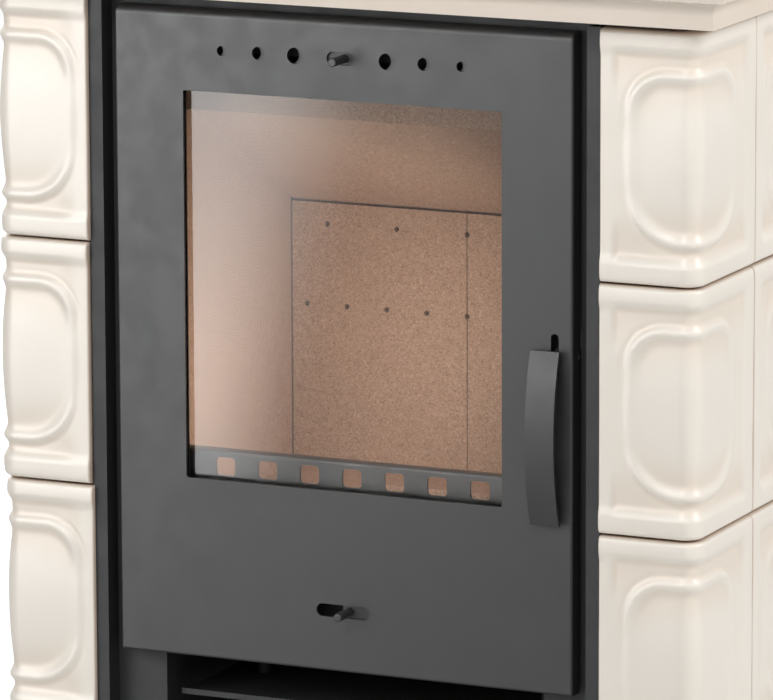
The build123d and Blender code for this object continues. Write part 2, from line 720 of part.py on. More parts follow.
def ash_pan():
    """Loose tray with a tab to pull it by."""
    half = HALF_ASH - PAN_PLAY
    front = FRAME_DEPTH + PAN_TAB / 3
    z = (ASH_FLOOR, ASH_FLOOR + PAN_H)
    outer = block((-half, half), (front, front + PAN_LEN), z)
    room = block((PAN_T - half, half - PAN_T), (front + PAN_T, front + PAN_LEN - PAN_T),
                 (z[0] + PAN_T, z[1]))
    tab_z = z[1] - PAN_H / 3
    tab = block((-PAN_TAB_W / 2, PAN_TAB_W / 2), (front - PAN_TAB, front), (tab_z, tab_z + SHEET))
    return outer - room + tab


# ---- Flue and air supply ---------------------------------------------------------------------

def flue_collar():
    """Cast collar on the fire chamber; the stovepipe fits over its upper end."""
    base = FIRE_CEILING + STEEL
    top = SLAB_TOP + FLUE_OUT
    pipe = rod_z(0, FLUE_DEPTH, (base, top), FLUE_R)
    neck = rod_z(0, FLUE_DEPTH, (base, SLAB_TOP), FLUE_R + FLUE_SHOULDER)
    flange = rod_z(0, FLUE_DEPTH, (base, base + FLUE_FLANGE_T), FLUE_R + FLUE_FLANGE)
    return pipe + neck + flange - rod_z(0, FLUE_DEPTH, (base, top), FLUE_R - FLUE_WALL)


def air_spigot():
    """Spigot for the combustion air pipe, bolted on the back panel."""
    start = PANEL_REAR + SHEET
    pipe = rod_y(0, (start, AIR_END), AIR_Z, AIR_R)
    flange = rod_y(0, (start, start + AIR_FLANGE_T), AIR_Z, AIR_R + AIR_FLANGE)
    return pipe + flange - rod_y(0, (start, AIR_END), AIR_Z, AIR_R - AIR_WALL)


# ---- Door ------------------------------------------------------------------------------------

def door_slot(x, z, length, height, angle=0):
    """Slot with round ends through the door's sheet."""
    outline = Rot(0, 0, angle) * SlotOverall(length, height)
    return Pos(x, deep(0), z) * Rot(90, 0, 0) * extrude(outline, amount=DOOR_T, both=True)


def hinge_z():
    """Heights of the two hinges."""
    return [DOOR_BOTTOM + height for height in HINGE_HEIGHTS]


def door_panel():
    """Pressed sheet with returned edges, a window, air holes and slots."""
    x = (-HALF_DOOR, HALF_DOOR)
    skin = block(x, (0, DOOR_DEPTH), (DOOR_BOTTOM, DOOR_TOP))
    skin = round_front(skin, DOOR_TOP_R, DOOR_EDGE_R)
    room = block((x[0] + DOOR_T, x[1] - DOOR_T), (DOOR_T, DOOR_DEPTH + DOOR_T),
                 (DOOR_BOTTOM + DOOR_T, DOOR_TOP - DOOR_T))
    room = round_front(room, DOOR_TOP_R - DOOR_T, DOOR_EDGE_R / 3)
    through = (0, DOOR_T)
    cuts = [rounded_y((-HALF_WINDOW, HALF_WINDOW), through, (WINDOW_Z0, WINDOW_Z1), WINDOW_R),
            door_slot(0, AIR_LINE_Z, PIN_SLOT_L, PIN_SLOT_H),
            door_slot(0, LOW_LINE_Z, LOW_SLOT_L, LOW_SLOT_H),
            door_slot(ARM_X + ARM_T / 2, HANDLE_SLOT_Z, HANDLE_SLOT_H, HANDLE_SLOT_W, 90)]
    cuts += [rod_y(x, through, AIR_LINE_Z, r) for x, r in air_pattern(0)]
    cuts.append(rod_x((HALF_DOOR - DOOR_T, HALF_DOOR), SHAFT_DEPTH, SHAFT_Z, SHAFT_R + SHAFT_RUN))
    for z in hinge_z():
        cuts.append(block((-HALF_DOOR, DOOR_T - HALF_DOOR), (DOOR_T, DOOR_DEPTH),
                          (z - NOTCH / 2, z + NOTCH / 2)))
    return skin - room - cuts


def round_front(solid, top_r, edge_r):
    """Round the front edges of a box, the upper one with its own radius."""
    front = solid.faces().sort_by(Axis.Y)[0]
    edges = front.edges().sort_by(Axis.Z)
    solid = fillet(edges[-1], top_r)
    front = solid.faces().sort_by(Axis.Y)[0]
    others = front.edges().sort_by(Axis.Z)[:-1]
    return fillet(others, edge_r)


def air_pattern(shift):
    """Centres and radii of the air holes, on both sides of the pin."""
    found = []
    for i, radius in enumerate(AIR_SIZES):
        for side in (-1, 1):
            found.append((side * (AIR_FIRST + i * AIR_STEP) + shift, radius))
    return found


def window_glass():
    """Pane of glass, larger than the window all round."""
    half = HALF_WINDOW + GLASS_LAP
    depth = (GLASS_DEPTH, GLASS_DEPTH + GLASS_T)
    return block((-half, half), depth, (WINDOW_Z0 - GLASS_LAP, WINDOW_Z1 + GLASS_LAP))


def glass_gasket():
    """Flat fibre seal between the door and the pane."""
    z = (WINDOW_Z0 - GLASS_LAP, WINDOW_Z1 + GLASS_LAP)
    return frame_y(HALF_WINDOW + GLASS_LAP, z, GASKET_W, (DOOR_T, GLASS_DEPTH), WINDOW_R)


def retainer_edge():
    """Outline of the glass retainer: half width and heights."""
    lap = GLASS_LAP + RETAINER_W / 2
    return HALF_WINDOW + lap, (WINDOW_Z0 - lap, WINDOW_Z1 + lap)


def screw_places():
    """Eight screws round the pane, outside its edge."""
    out = GLASS_LAP + RETAINER_W / 4
    half = HALF_WINDOW + out
    z0, z1 = WINDOW_Z0 - out, WINDOW_Z1 + out
    corners = [(x, z) for x in (-half, half) for z in (z0 + GLASS_LAP, z1 - GLASS_LAP)]
    middles = [(x, (z0 + z1) / 2) for x in (-half, half)] + [(0, z) for z in (z0, z1)]
    return corners + middles


def glass_retainer():
    """Flat ring that clamps the pane."""
    half, z = retainer_edge()
    depth = (RETAINER_DEPTH, RETAINER_DEPTH + RETAINER_T)
    ring = frame_y(half, z, RETAINER_W, depth, WINDOW_R)
    return ring - [rod_y(x, depth, z, SCREW_R + HINGE_RUN) for x, z in screw_places()]


def retainer_screws():
    """Screws through the retainer into the door panel."""
    back = RETAINER_DEPTH + RETAINER_T
    screws = []
    for x, z in screw_places():
        shank = rod_y(x, (DOOR_T, back), z, SCREW_R)
        screws.append(shank + rod_y(x, (back, back + SCREW_HEAD_H), z, SCREW_HEAD_R))
    return Compound(children=screws)


def seal_ring(half_band, depth):
    """Ring along the path of the rope seal."""
    z = (ROPE_LOW - half_band, ROPE_HIGH + half_band)
    return frame_y(ROPE_SIDE + half_band, z, 2 * half_band, depth, ROPE_BEND + half_band)


def rope_channel():
    """Folded channel that holds the rope seal."""
    outer = seal_ring(ROPE_W / 2 + CHANNEL_T, (DOOR_T, CHANNEL_END))
    return outer - seal_ring(ROPE_W / 2, (ROPE_SEAT, CHANNEL_END))


def door_rope():
    """Rope seal; it presses on the frame plate all round both openings."""
    return seal_ring(ROPE_W / 2, (ROPE_SEAT, FRAME_DEPTH - ROPE_FREE))


def guide_pair(x, z):
    """Two rails that hold a slider against the door panel."""
    edge = SLIDE_H / 2 + SLIDE_PLAY
    lip_depth = SLIDE_DEPTH + SLIDE_T + SLIDE_PLAY
    rails = []
    for side in (-1, 1):
        web = sorted((z + side * edge, z + side * (edge + GUIDE_W)))
        lip = sorted((z + side * (edge - GUIDE_LIP), z + side * (edge + GUIDE_W)))
        rail = block(x, (DOOR_T, lip_depth), web)
        rails.append(rail + block(x, (lip_depth, lip_depth + GUIDE_T), lip))
    return rails


def slider_guides():
    high = (-HIGH_GUIDE_L / 2, HIGH_GUIDE_L / 2)
    low = (LOW_GUIDE_X - LOW_GUIDE_L / 2, LOW_GUIDE_X + LOW_GUIDE_L / 2)
    return Compound(children=guide_pair(high, AIR_LINE_Z) + guide_pair(low, LOW_LINE_Z))


def slider_plate(x, z):
    half = SLIDE_H / 2
    return block(x, (SLIDE_DEPTH, SLIDE_DEPTH + SLIDE_T), (z - half, z + half))


def upper_air_slider():
    """Slider behind the row of air holes, with the same holes."""
    middle = HIGH_SHIFT
    plate = slider_plate((middle - HIGH_SLIDE_L / 2, middle + HIGH_SLIDE_L / 2), AIR_LINE_Z)
    depth = (SLIDE_DEPTH, SLIDE_DEPTH + SLIDE_T)
    return plate - [rod_y(x, depth, AIR_LINE_Z, r) for x, r in air_pattern(HIGH_SHIFT)]


def lower_air_slider():
    """Blade that covers the lower slot."""
    return slider_plate((LOW_SLIDE_X, LOW_SLIDE_X + LOW_SLIDE_L), LOW_LINE_Z)


def slider_pin(x, z):
    """Pin of a slider, with a rounded tip in front of the door."""
    pin = rod_y(x, (-PIN_OUT, SLIDE_DEPTH), z, PIN_R)
    tip = pin.edges().sort_by(Axis.Y)[0]
    return fillet(tip, PIN_R / 3)


# ---- Hinges ----------------------------------------------------------------------------------

def hinge_knuckles():
    """Two eyes on the frame plate, inside the hollow of the door."""
    half = KNUCKLE_T / 2
    knuckles = []
    for z in hinge_z():
        height = (z - half, z + half)
        arm = block((AXIS_X - KNUCKLE_R, AXIS_X + KNUCKLE_R), (HINGE_DEPTH, FRAME_DEPTH), height)
        eye = rod_z(AXIS_X, HINGE_DEPTH, height, KNUCKLE_R)
        bore = rod_z(AXIS_X, HINGE_DEPTH, height, HINGE_PIN_R + HINGE_RUN)
        knuckles.append(arm + eye - bore)
    return Compound(children=knuckles)


def hinge_brackets():
    """Two brackets on the door, each with a pair of ears and a pin through them."""
    near = KNUCKLE_T / 2 + EAR_PLAY
    x = (AXIS_X - HINGE_PIN_R / 2, AXIS_X + EAR_REACH)
    brackets = []
    for z in hinge_z():
        bracket = block(x, (DOOR_T, DOOR_T + EAR_FOOT), (z - near - EAR_T, z + near + EAR_T))
        for low in (z - near - EAR_T, z + near):
            height = (low, low + EAR_T)
            bracket += block(x, (DOOR_T, HINGE_DEPTH), height)
            bracket += rod_z(AXIS_X, HINGE_DEPTH, height, KNUCKLE_R)
        bracket += rod_z(AXIS_X, HINGE_DEPTH, (z - near - EAR_T, z + near + EAR_T), HINGE_PIN_R)
        brackets.append(bracket)
    return Compound(children=brackets)


# ---- Handle and latch ------------------------------------------------------------------------

def handle_grip():
    """Bowed strip on an arm; the arm's hub sits on the latch shaft."""
    low = HANDLE_TOP - HANDLE_LEN
    middle = (HANDLE_TOP + low) / 2
    back = -HANDLE_END
    bow = back - HANDLE_BOW
    inner = ThreePointArc((deep(back), HANDLE_TOP), (deep(bow), middle), (deep(back), low))
    outer = ThreePointArc((deep(back - HANDLE_T), low), (deep(bow - HANDLE_T), middle),
                          (deep(back - HANDLE_T), HANDLE_TOP))
    ends = [Line(inner @ 1, outer @ 0), Line(outer @ 1, inner @ 0)]
    face = make_face(inner + outer + ends)
    left = HANDLE_X - HANDLE_W / 2
    strip = Plane.YZ.offset(left) * extrude(face, amount=HANDLE_W)
    arm_x = (ARM_X, ARM_X + ARM_T)
    arm_z = (SHAFT_Z - ARM_H / 2, SHAFT_Z + ARM_H / 2)
    arm = block(arm_x, (back - HANDLE_T / 3, SHAFT_DEPTH), arm_z)
    hub = rod_x(arm_x, SHAFT_DEPTH, SHAFT_Z, HUB_R)
    return strip + arm + hub - rod_x(arm_x, SHAFT_DEPTH, SHAFT_Z, SHAFT_R)


def latch_shaft():
    """Shaft across the corner of the door, with the latch hook."""
    shaft = rod_x((SHAFT_X, SHAFT_END), SHAFT_DEPTH, SHAFT_Z, SHAFT_R)
    x = (HOOK_X, HOOK_X + HOOK_T)
    hub = rod_x(x, SHAFT_DEPTH, SHAFT_Z, HUB_R)
    arm_z = (SHAFT_Z - HOOK_H / 2, SHAFT_Z + HOOK_H / 2)
    arm = block(x, (SHAFT_DEPTH, HOOK_REACH), arm_z)
    nose = block(x, (FRAME_BACK + FIT, HOOK_REACH), (SHAFT_Z, arm_z[1] + HOOK_NOSE))
    return shaft + hub + arm + nose


def shaft_bearing():
    """Small plate on the door that carries the inner end of the latch shaft."""
    x = (SHAFT_X, SHAFT_X + BEARING_T)
    plate = block(x, (DOOR_T, DOOR_DEPTH), (SHAFT_Z - HUB_R, SHAFT_Z + HUB_R))
    return plate - rod_x(x, SHAFT_DEPTH, SHAFT_Z, SHAFT_R + SHAFT_RUN)


# ---- All pieces ------------------------------------------------------------------------------

pieces = tiles()
pieces.update({
    "plinth": plinth(),
    "levelling_feet": levelling_feet(),
    "top_slab": top_slab(),
    "cover_strip_right": cover_strip_right(),
    "cover_strip_left": mirrored(cover_strip_right()),
    "side_casing_right": side_casing_right(),
    "side_casing_left": mirrored(side_casing_right()),
    "back_panel": back_panel(),
    "front_frame": front_frame(),
    "niche_liner": niche_liner(),
    "heat_shield": heat_shield(),
    "shield_spacers": shield_spacers(),
    "firebox_shell": firebox_shell(),
    "side_board_right": side_board_right(),
    "side_board_left": mirrored(side_board_right()),
    "back_board_right": back_board_right(),
    "back_board_left": mirrored(back_board_right()),
    "hearth_bricks": hearth_bricks(),
    "grate": grate(),
    "baffle": baffle(),
    "ember_bar": ember_bar(),
    "ash_box": ash_box(),
    "ash_pan": ash_pan(),
    "flue_collar": flue_collar(),
    "air_spigot": air_spigot(),
    "hinge_knuckles": hinge_knuckles(),
    "door_panel": door_panel(),
    "window_glass": window_glass(),
    "glass_gasket": glass_gasket(),
    "glass_retainer": glass_retainer(),
    "retainer_screws": retainer_screws(),
    "rope_channel": rope_channel(),
    "door_rope": door_rope(),
    "slider_guides": slider_guides(),
    "hinge_brackets": hinge_brackets(),
    "shaft_bearing": shaft_bearing(),
    "handle_grip": handle_grip(),
    "latch_shaft": latch_shaft(),
    "upper_air_slider": upper_air_slider(),
    "upper_air_pin": slider_pin(HIGH_PIN_X, AIR_LINE_Z),
    "lower_air_slider": lower_air_slider(),
    "lower_air_pin": slider_pin(LOW_PIN_X, LOW_LINE_Z),
})

for name, piece in pieces.items():
    export_step(piece, f"parts/{name}.step")
print(len(pieces), "pieces")
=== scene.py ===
# %% [markdown]
# # A tiled wood stove
# The steel body, the fire chamber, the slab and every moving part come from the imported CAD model, which
# is loaded here as a fixed frame. Blender adds what the CAD leaves out or has only as plain shapes: the
# soft relief of the glazed tiles, the braid of the seals, the screws, the finishes and the studio.
# Everything is in metres, in the frame's own coordinates, so each piece is made where it belongs.

# %% load the frame
import math

import bmesh
import bpy
from mathutils import Matrix, Vector


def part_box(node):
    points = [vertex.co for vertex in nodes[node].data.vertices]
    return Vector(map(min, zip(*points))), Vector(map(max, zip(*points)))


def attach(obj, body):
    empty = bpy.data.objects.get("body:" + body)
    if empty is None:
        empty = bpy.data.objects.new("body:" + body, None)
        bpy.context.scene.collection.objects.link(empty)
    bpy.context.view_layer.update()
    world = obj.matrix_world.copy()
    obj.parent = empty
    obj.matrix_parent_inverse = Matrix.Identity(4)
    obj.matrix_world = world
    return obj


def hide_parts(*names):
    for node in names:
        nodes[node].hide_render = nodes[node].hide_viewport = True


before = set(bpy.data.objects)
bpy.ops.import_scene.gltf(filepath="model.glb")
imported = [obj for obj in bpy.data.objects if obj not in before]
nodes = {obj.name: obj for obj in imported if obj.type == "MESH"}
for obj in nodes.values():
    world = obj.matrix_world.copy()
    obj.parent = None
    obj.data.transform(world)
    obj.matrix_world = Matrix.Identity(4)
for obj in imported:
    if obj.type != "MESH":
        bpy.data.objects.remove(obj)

scene = bpy.context.scene
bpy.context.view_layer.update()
MM = 0.001

# %% [markdown]
# A few planes of the stove are read from the frame, so that a new piece follows the CAD when its sizes
# change: the face of the cover strips, the outer faces of the tiles, and the rows' lower edges.

# %% planes of the stove
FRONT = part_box("cover_strip_right")[0].y
ROWS = 4
row_low = [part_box(f"tile_front_right_{row}")[0].z for row in range(1, ROWS + 1)]
tile_low, tile_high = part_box("tile_front_right_1")
side_low, side_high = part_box("tile_side_right_1")
rear_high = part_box("tiles_rear_right")[1]
TILE_H = tile_high.z - tile_low.z
print("strip face", round(FRONT, 4), "tile height", round(TILE_H, 4))

# %% [markdown]
# ## Camera
# The photograph was taken from far away with a long lens, from the stove's right and a little above. The
# place and the lens were worked out from the joints of the tiles, the door and the holes, whose
# real sizes are known from the CAD.

# %% camera
CAMERA_PLACE = Vector((2.356, FRONT - 5.022, 1.740))
CAMERA_YAW = math.radians(24.73)
CAMERA_PITCH = math.radians(11.21)
CAMERA_ROLL = math.radians(-0.21)
LENS = 302.4

view_line = Vector((-math.sin(CAMERA_YAW) * math.cos(CAMERA_PITCH),
                    math.cos(CAMERA_YAW) * math.cos(CAMERA_PITCH), -math.sin(CAMERA_PITCH)))
right = Vector((math.cos(CAMERA_YAW), math.sin(CAMERA_YAW), 0))
up = right.cross(view_line)
rolled_right = math.cos(CAMERA_ROLL) * right + math.sin(CAMERA_ROLL) * up
rolled_up = math.cos(CAMERA_ROLL) * up - math.sin(CAMERA_ROLL) * right
camera = bpy.data.objects.new("camera", bpy.data.cameras.new("camera"))
scene.collection.objects.link(camera)
turn = Matrix((rolled_right, rolled_up, -view_line)).transposed()
camera.matrix_world = Matrix.Translation(CAMERA_PLACE) @ turn.to_4x4()
camera.data.lens = LENS
camera.data.clip_end = 100
scene.camera = camera
print("camera", [round(v, 3) for v in camera.location])

# %% [markdown]
# ## Helpers for node trees
# Geometry and shader trees are both made of nodes and links. `Field` lets a formula in a tree be written
# like plain arithmetic: each operator adds Math nodes and links them.

# %% formulas as nodes
class Field:
    """A number in a node tree, which takes part in sums like a Python number."""

    def __init__(self, tree, socket):
        self.tree = tree
        self.socket = socket

    def math(self, operation, *others):
        node = self.tree.nodes.new("ShaderNodeMath")
        node.operation = operation
        for slot, value in zip(node.inputs, (self, *others)):
            put(self.tree, slot, value)
        return Field(self.tree, node.outputs[0])

    def __add__(self, other):
        return self.math("ADD", other)

    def __sub__(self, other):
        return self.math("SUBTRACT", other)

    def __rsub__(self, other):
        return self.math("MULTIPLY", -1.0) + other

    def __mul__(self, other):
        return self.math("MULTIPLY", other)

    def __truediv__(self, other):
        return self.math("DIVIDE", other)

    def __pow__(self, other):
        return self.math("POWER", other)

    def step(self, start, end, low=0.0, high=1.0):
        """Goes smoothly from low at start to high at end."""
        node = self.tree.nodes.new("ShaderNodeMapRange")
        node.interpolation_type = "SMOOTHSTEP"
        for slot, value in zip(node.inputs, (self, start, end, low, high)):
            put(self.tree, slot, value)
        return Field(self.tree, node.outputs[0])


def put(tree, slot, value):
    """Links a socket to a field or a socket, or sets its plain value."""
    if isinstance(value, Field):
        value = value.socket
    if isinstance(value, bpy.types.NodeSocket):
        tree.links.new(value, slot)
    else:
        slot.default_value = value


def add(tree, kind, inputs=None, **settings):
    """New node with its settings and inputs."""
    node = tree.nodes.new(kind)
    for name, value in settings.items():
        setattr(node, name, value)
    for key, value in (inputs or {}).items():
        put(tree, node.inputs[key], value)
    return node


# %% [markdown]
# A geometry tree has named sizes as its inputs and ends in real geometry with a finish. `grow` runs a
# tree with the sizes of one piece and keeps the result as a plain mesh.

# %% geometry trees
def geometry_tree(name, sizes):
    """New geometry tree with named inputs; returns the tree, its inputs as fields, and its output."""
    tree = bpy.data.node_groups.new(name, "GeometryNodeTree")
    tree.interface.new_socket("Geometry", in_out="OUTPUT", socket_type="NodeSocketGeometry")
    for label, value in sizes.items():
        socket = tree.interface.new_socket(label, in_out="INPUT", socket_type="NodeSocketFloat")
        socket.default_value = value
    tree.interface.new_socket("Material", in_out="INPUT", socket_type="NodeSocketMaterial")
    start = tree.nodes.new("NodeGroupInput")
    given = {label: Field(tree, start.outputs[label]) for label in sizes}
    return tree, given, start.outputs["Material"]


def close_tree(tree, geometry, material):
    """Ends a tree in Realize Instances and Set Material."""
    real = add(tree, "GeometryNodeRealizeInstances", {"Geometry": geometry})
    painted = add(tree, "GeometryNodeSetMaterial", {"Geometry": real.outputs[0], "Material": material})
    end = tree.nodes.new("NodeGroupOutput")
    tree.links.new(painted.outputs[0], end.inputs[0])


def grow(name, tree, material, **sizes):
    """Runs a tree with the given sizes and returns the result as an object with a plain mesh."""
    host = bpy.data.objects.new(name + "_host", bpy.data.meshes.new(name + "_host"))
    scene.collection.objects.link(host)
    modifier = host.modifiers.new("grow", "NODES")
    modifier.node_group = tree
    wanted = {label.replace("_", " "): value for label, value in sizes.items()}
    for item in tree.interface.items_tree:
        if item.in_out == "INPUT" and item.name in wanted:
            modifier[item.identifier] = float(wanted[item.name])
        if item.in_out == "INPUT" and item.name == "Material":
            modifier[item.identifier] = material
    host.update_tag()
    graph = bpy.context.evaluated_depsgraph_get()
    mesh = bpy.data.meshes.new_from_object(host.evaluated_get(graph), depsgraph=graph)
    mesh.name = name
    bpy.data.objects.remove(host)
    piece = bpy.data.objects.new(name, mesh)
    scene.collection.objects.link(piece)
    return piece


# %% [markdown]
# A piece is put in its place by moving its mesh, so its object stays at the origin.

# %% placing and joining pieces
def place(piece, matrix, flipped=False):
    """Moves the mesh of a piece, whose object stays at the origin."""
    piece.data.transform(matrix)
    if flipped:
        piece.data.flip_normals()
    piece.data.update()


def join(name, parts):
    """One mesh piece out of several."""
    work = bmesh.new()
    for part in parts:
        work.from_mesh(part.data)
    mesh = bpy.data.meshes.new(name)
    work.to_mesh(mesh)
    work.free()
    for material in parts[0].data.materials:
        mesh.materials.append(material)
    for part in parts:
        bpy.data.objects.remove(part)
    piece = bpy.data.objects.new(name, mesh)
    scene.collection.objects.link(piece)
    return piece


# %% [markdown]
# ## Finishes
# Each finish is one Principled shader. All but the glass have a few procedural patterns in Object
# coordinates: a slow one for uneven colour, a fine one for grain, and a bump. `finish` makes the common
# part.

# %% shader helpers
def finish(name, color, roughness, metallic=0.0, **uniform):
    """New material with a Principled shader; uniform values go straight on its sockets."""
    material = bpy.data.materials.new(name)
    material.use_nodes = True
    tree = material.node_tree
    shader = tree.nodes["Principled BSDF"]
    shader.inputs["Base Color"].default_value = (*color, 1)
    shader.inputs["Roughness"].default_value = roughness
    shader.inputs["Metallic"].default_value = metallic
    for label, value in uniform.items():
        shader.inputs[label.replace("_", " ")].default_value = value
    place_in = tree.nodes.new("ShaderNodeTexCoord").outputs["Object"]
    return material, tree, shader, place_in


def noise(tree, where, scale, detail=3.0, rough=0.5):
    """Noise pattern; scale is the number of features in a metre."""
    node = add(tree, "ShaderNodeTexNoise", {"Vector": where, "Scale": scale, "Detail": detail,
                                             "Roughness": rough})
    return Field(tree, node.outputs["Fac"])


def ramp(tree, fac, stops):
    """Colour ramp through (position, colour) stops."""
    node = add(tree, "ShaderNodeValToRGB", {"Fac": fac})
    bar = node.color_ramp
    for i, (at, color) in enumerate(stops):
        stop = bar.elements[i] if i < 2 else bar.elements.new(at)
        stop.position = at
        stop.color = (*color, 1)
    return node.outputs["Color"]


def mixed(tree, fac, a, b):
    """Mix of two colours, either of them a socket or a plain colour."""
    node = tree.nodes.new("ShaderNodeMix")
    node.data_type = "RGBA"
    put(tree, node.inputs[0], fac)
    for slot, value in ((node.inputs[6], a), (node.inputs[7], b)):
        put(tree, slot, (*value, 1) if isinstance(value, tuple) else value)
    return node.outputs[2]


def bump(tree, shader, height, strength, distance):
    """Bump on the shader's normal."""
    node = add(tree, "ShaderNodeBump", {"Height": height, "Strength": strength, "Distance": distance})
    tree.links.new(node.outputs[0], shader.inputs["Normal"])


# %% [markdown]
# ### Glaze
# The tiles are dipped in a cream glaze. It runs a little off the crests, where it looks lighter, and
# gathers in the hollows, where it looks warmer; that warmer, darker tint of the hollows is also painted
# shade in the grooves. At the rims it is so thin that the clay shows. The tree of the tiles stores
# `hollow` and `rim` on each tile for this.

# %% glaze
# glaze gathered in the hollows together with painted shade there, warmer and darker than the rest
GLAZE_POOL_AND_SHADE = (0.77, 0.665, 0.55)      # glaze in the hollows
CLAY = (0.44, 0.29, 0.19)           # clay under the thin glaze of the rims
SPECK = (0.66, 0.56, 0.45)
TILE_SHINE = (0.38, 0.08)           # roughness and clear coat
SLAB_SHINE = (0.75, 0.0)


def make_glaze(name, dark, light, follows_relief):
    """Cream glaze; with the tiles' own attributes where they have them."""
    roughness, coat = TILE_SHINE if follows_relief else SLAB_SHINE
    material, tree, shader, where = finish(name, (0.80, 0.72, 0.62), roughness, Coat_Weight=coat,
                                           Coat_Roughness=0.16)
    cloud = noise(tree, where, 9.0)
    color = ramp(tree, cloud, [(0.25, dark), (0.75, light)])
    grain = noise(tree, where, 420.0, 4.0, 0.6)
    speck = grain.step(0.62, 0.72)
    color = mixed(tree, speck * 0.10, color, SPECK)
    if follows_relief:
        hollow = Field(tree, add(tree, "ShaderNodeAttribute", attribute_name="hollow").outputs["Fac"])
        rim = Field(tree, add(tree, "ShaderNodeAttribute", attribute_name="rim").outputs["Fac"])
        # the hollows get the gathered glaze and painted shade
        color = mixed(tree, hollow * 0.6, color, GLAZE_POOL_AND_SHADE)
        color = mixed(tree, rim * 0.75, color, CLAY)
    tree.links.new(color, shader.inputs["Base Color"])
    ripple = noise(tree, where, 45.0, 1.0) + grain * 0.03
    bump(tree, shader, ripple, 0.06, 0.0012)
    return material


glaze = make_glaze("glazed_tile", (0.81, 0.745, 0.66), (0.84, 0.78, 0.70), True)
# the slab has the same cream glaze as the tiles, painted darker and warmer: painted shade for its shaded
# fascia
shaded_slab_glaze = make_glaze("glazed_slab", (0.70, 0.61, 0.52), (0.74, 0.655, 0.565), False)

# %% [markdown]
# ### Painted and bare metals
# The door and its grip have a dark grey stove paint with a fine grain. The strips, the frame and the
# plinth are blacker and more matte. The sliders and the sheets inside are black too. The ember bar is
# bare steel, whose grey is a little lighter in places, and the back is galvanised.

# %% metals
def make_paint(name, dark, light, roughness, grain=0.25):
    """Stove paint: uneven in colour and shine, with a fine grain."""
    material, tree, shader, where = finish(name, dark, roughness)
    cloud = noise(tree, where, 6.0)
    tree.links.new(ramp(tree, cloud, [(0.3, dark), (0.7, light)]), shader.inputs["Base Color"])
    fine = noise(tree, where, 2600.0, 2.0)
    bump(tree, shader, fine, grain, 0.0002)
    rough = noise(tree, where, 40.0).step(0.3, 0.7, roughness - 0.04, roughness + 0.05)
    tree.links.new(rough.socket, shader.inputs["Roughness"])
    return material


def make_metal(name, dark, light, roughness, stretch):
    """Bare metal with fine marks; a small stretch draws them out in that direction."""
    material, tree, shader, where = finish(name, dark, roughness, 1.0)
    turned = add(tree, "ShaderNodeMapping", {"Vector": where, "Scale": stretch})
    marks = noise(tree, turned.outputs[0], 300.0, 4.0)
    stains = noise(tree, where, 25.0, 4.0)
    color = ramp(tree, stains, [(0.35, dark), (0.65, light)])
    tree.links.new(color, shader.inputs["Base Color"])
    rough = marks.step(0.3, 0.7, roughness - 0.07, roughness + 0.08)
    tree.links.new(rough.socket, shader.inputs["Roughness"])
    bump(tree, shader, marks, 0.2, 0.0002)
    return material


stove_paint = make_paint("stove_paint", (0.017, 0.017, 0.017), (0.020, 0.020, 0.020), 0.46)
strip_paint = make_paint("strip_paint", (0.005, 0.005, 0.005), (0.007, 0.007, 0.007), 0.65)
black_paint = make_paint("black_paint", (0.013, 0.013, 0.0135), (0.020, 0.020, 0.020), 0.55)
cast_iron = make_paint("cast_iron", (0.030, 0.030, 0.031), (0.055, 0.053, 0.051), 0.68, 0.6)
galvanised = make_metal("galvanised_sheet", (0.54, 0.56, 0.57), (0.57, 0.59, 0.595), 0.42, (1, 1, 1))
bare_steel = make_metal("bare_steel", (0.15, 0.15, 0.155), (0.19, 0.19, 0.19), 0.45, (0.1, 1, 1))
bright_steel = make_metal("bright_steel", (0.55, 0.55, 0.55), (0.64, 0.64, 0.63), 0.35, (0.1, 1, 1))

# %% [markdown]
# ### Lining boards
# The boards are pressed from vermiculite: small flakes, sand-coloured with lighter and darker
# grains a millimetre across, and a surface that is rough to the touch. Thin dark seams show where the
# two back boards meet and where the side boards meet them.

# %% lining boards
BACK_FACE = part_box("back_board_left")[0].y      # the two back boards meet in the middle
WALL_FACE = -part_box("side_board_left")[1].x     # the side boards meet them in the corners
SEAM_EDGE = (0.0002, 0.0008)                    # the middle seam fades between these distances
SEAM_DEPTH = (BACK_FACE - 0.0020, BACK_FACE - 0.0010)
CORNER_EDGE = (WALL_FACE - 0.0010, WALL_FACE - 0.0004)
CORNER_DEPTH = (BACK_FACE - 0.0028, BACK_FACE - 0.0012)
SOOT = (0.33, 0.215, 0.15)
SEAM = (0.06, 0.04, 0.03)


def make_board():
    """Pressed vermiculite with flakes, a little soot and the seams between the boards."""
    material, tree, shader, where = finish("lining_board", (0.50, 0.36, 0.26), 0.9)
    cells = add(tree, "ShaderNodeTexVoronoi", {"Vector": where, "Scale": 1000.0})
    flake = add(tree, "ShaderNodeSeparateColor", {"Color": cells.outputs["Color"]})
    tone = Field(tree, flake.outputs[0])
    color = ramp(tree, tone, [(0.0, (0.26, 0.15, 0.092)), (0.25, (0.41, 0.25, 0.163)),
                              (0.8, (0.49, 0.31, 0.212)), (1.0, (0.58, 0.405, 0.295))])
    soot = noise(tree, where, 8.0, 4.0)
    color = mixed(tree, soot.step(0.45, 0.75) * 0.25, color, SOOT)
    at = add(tree, "ShaderNodeSeparateXYZ", {"Vector": where})
    across = Field(tree, at.outputs[0]).math("ABSOLUTE")
    depth = Field(tree, at.outputs[1])
    seam = across.step(*SEAM_EDGE, 1.0, 0.0) * depth.step(*SEAM_DEPTH)
    corner = across.step(*CORNER_EDGE) * depth.step(*CORNER_DEPTH)
    color = mixed(tree, seam * 0.7 + corner * 0.8, color, SEAM)
    tree.links.new(color, shader.inputs["Base Color"])
    bump(tree, shader, tone + noise(tree, where, 900.0), 0.25, 0.0004)
    return material


board = make_board()

# %% [markdown]
# ### Glass and fibre
# The pane is clear ceramic glass, faintly warm, with a shiny face. The seals are braided glass fibre,
# dark grey; the braid is in their mesh and the shader adds the yarn.

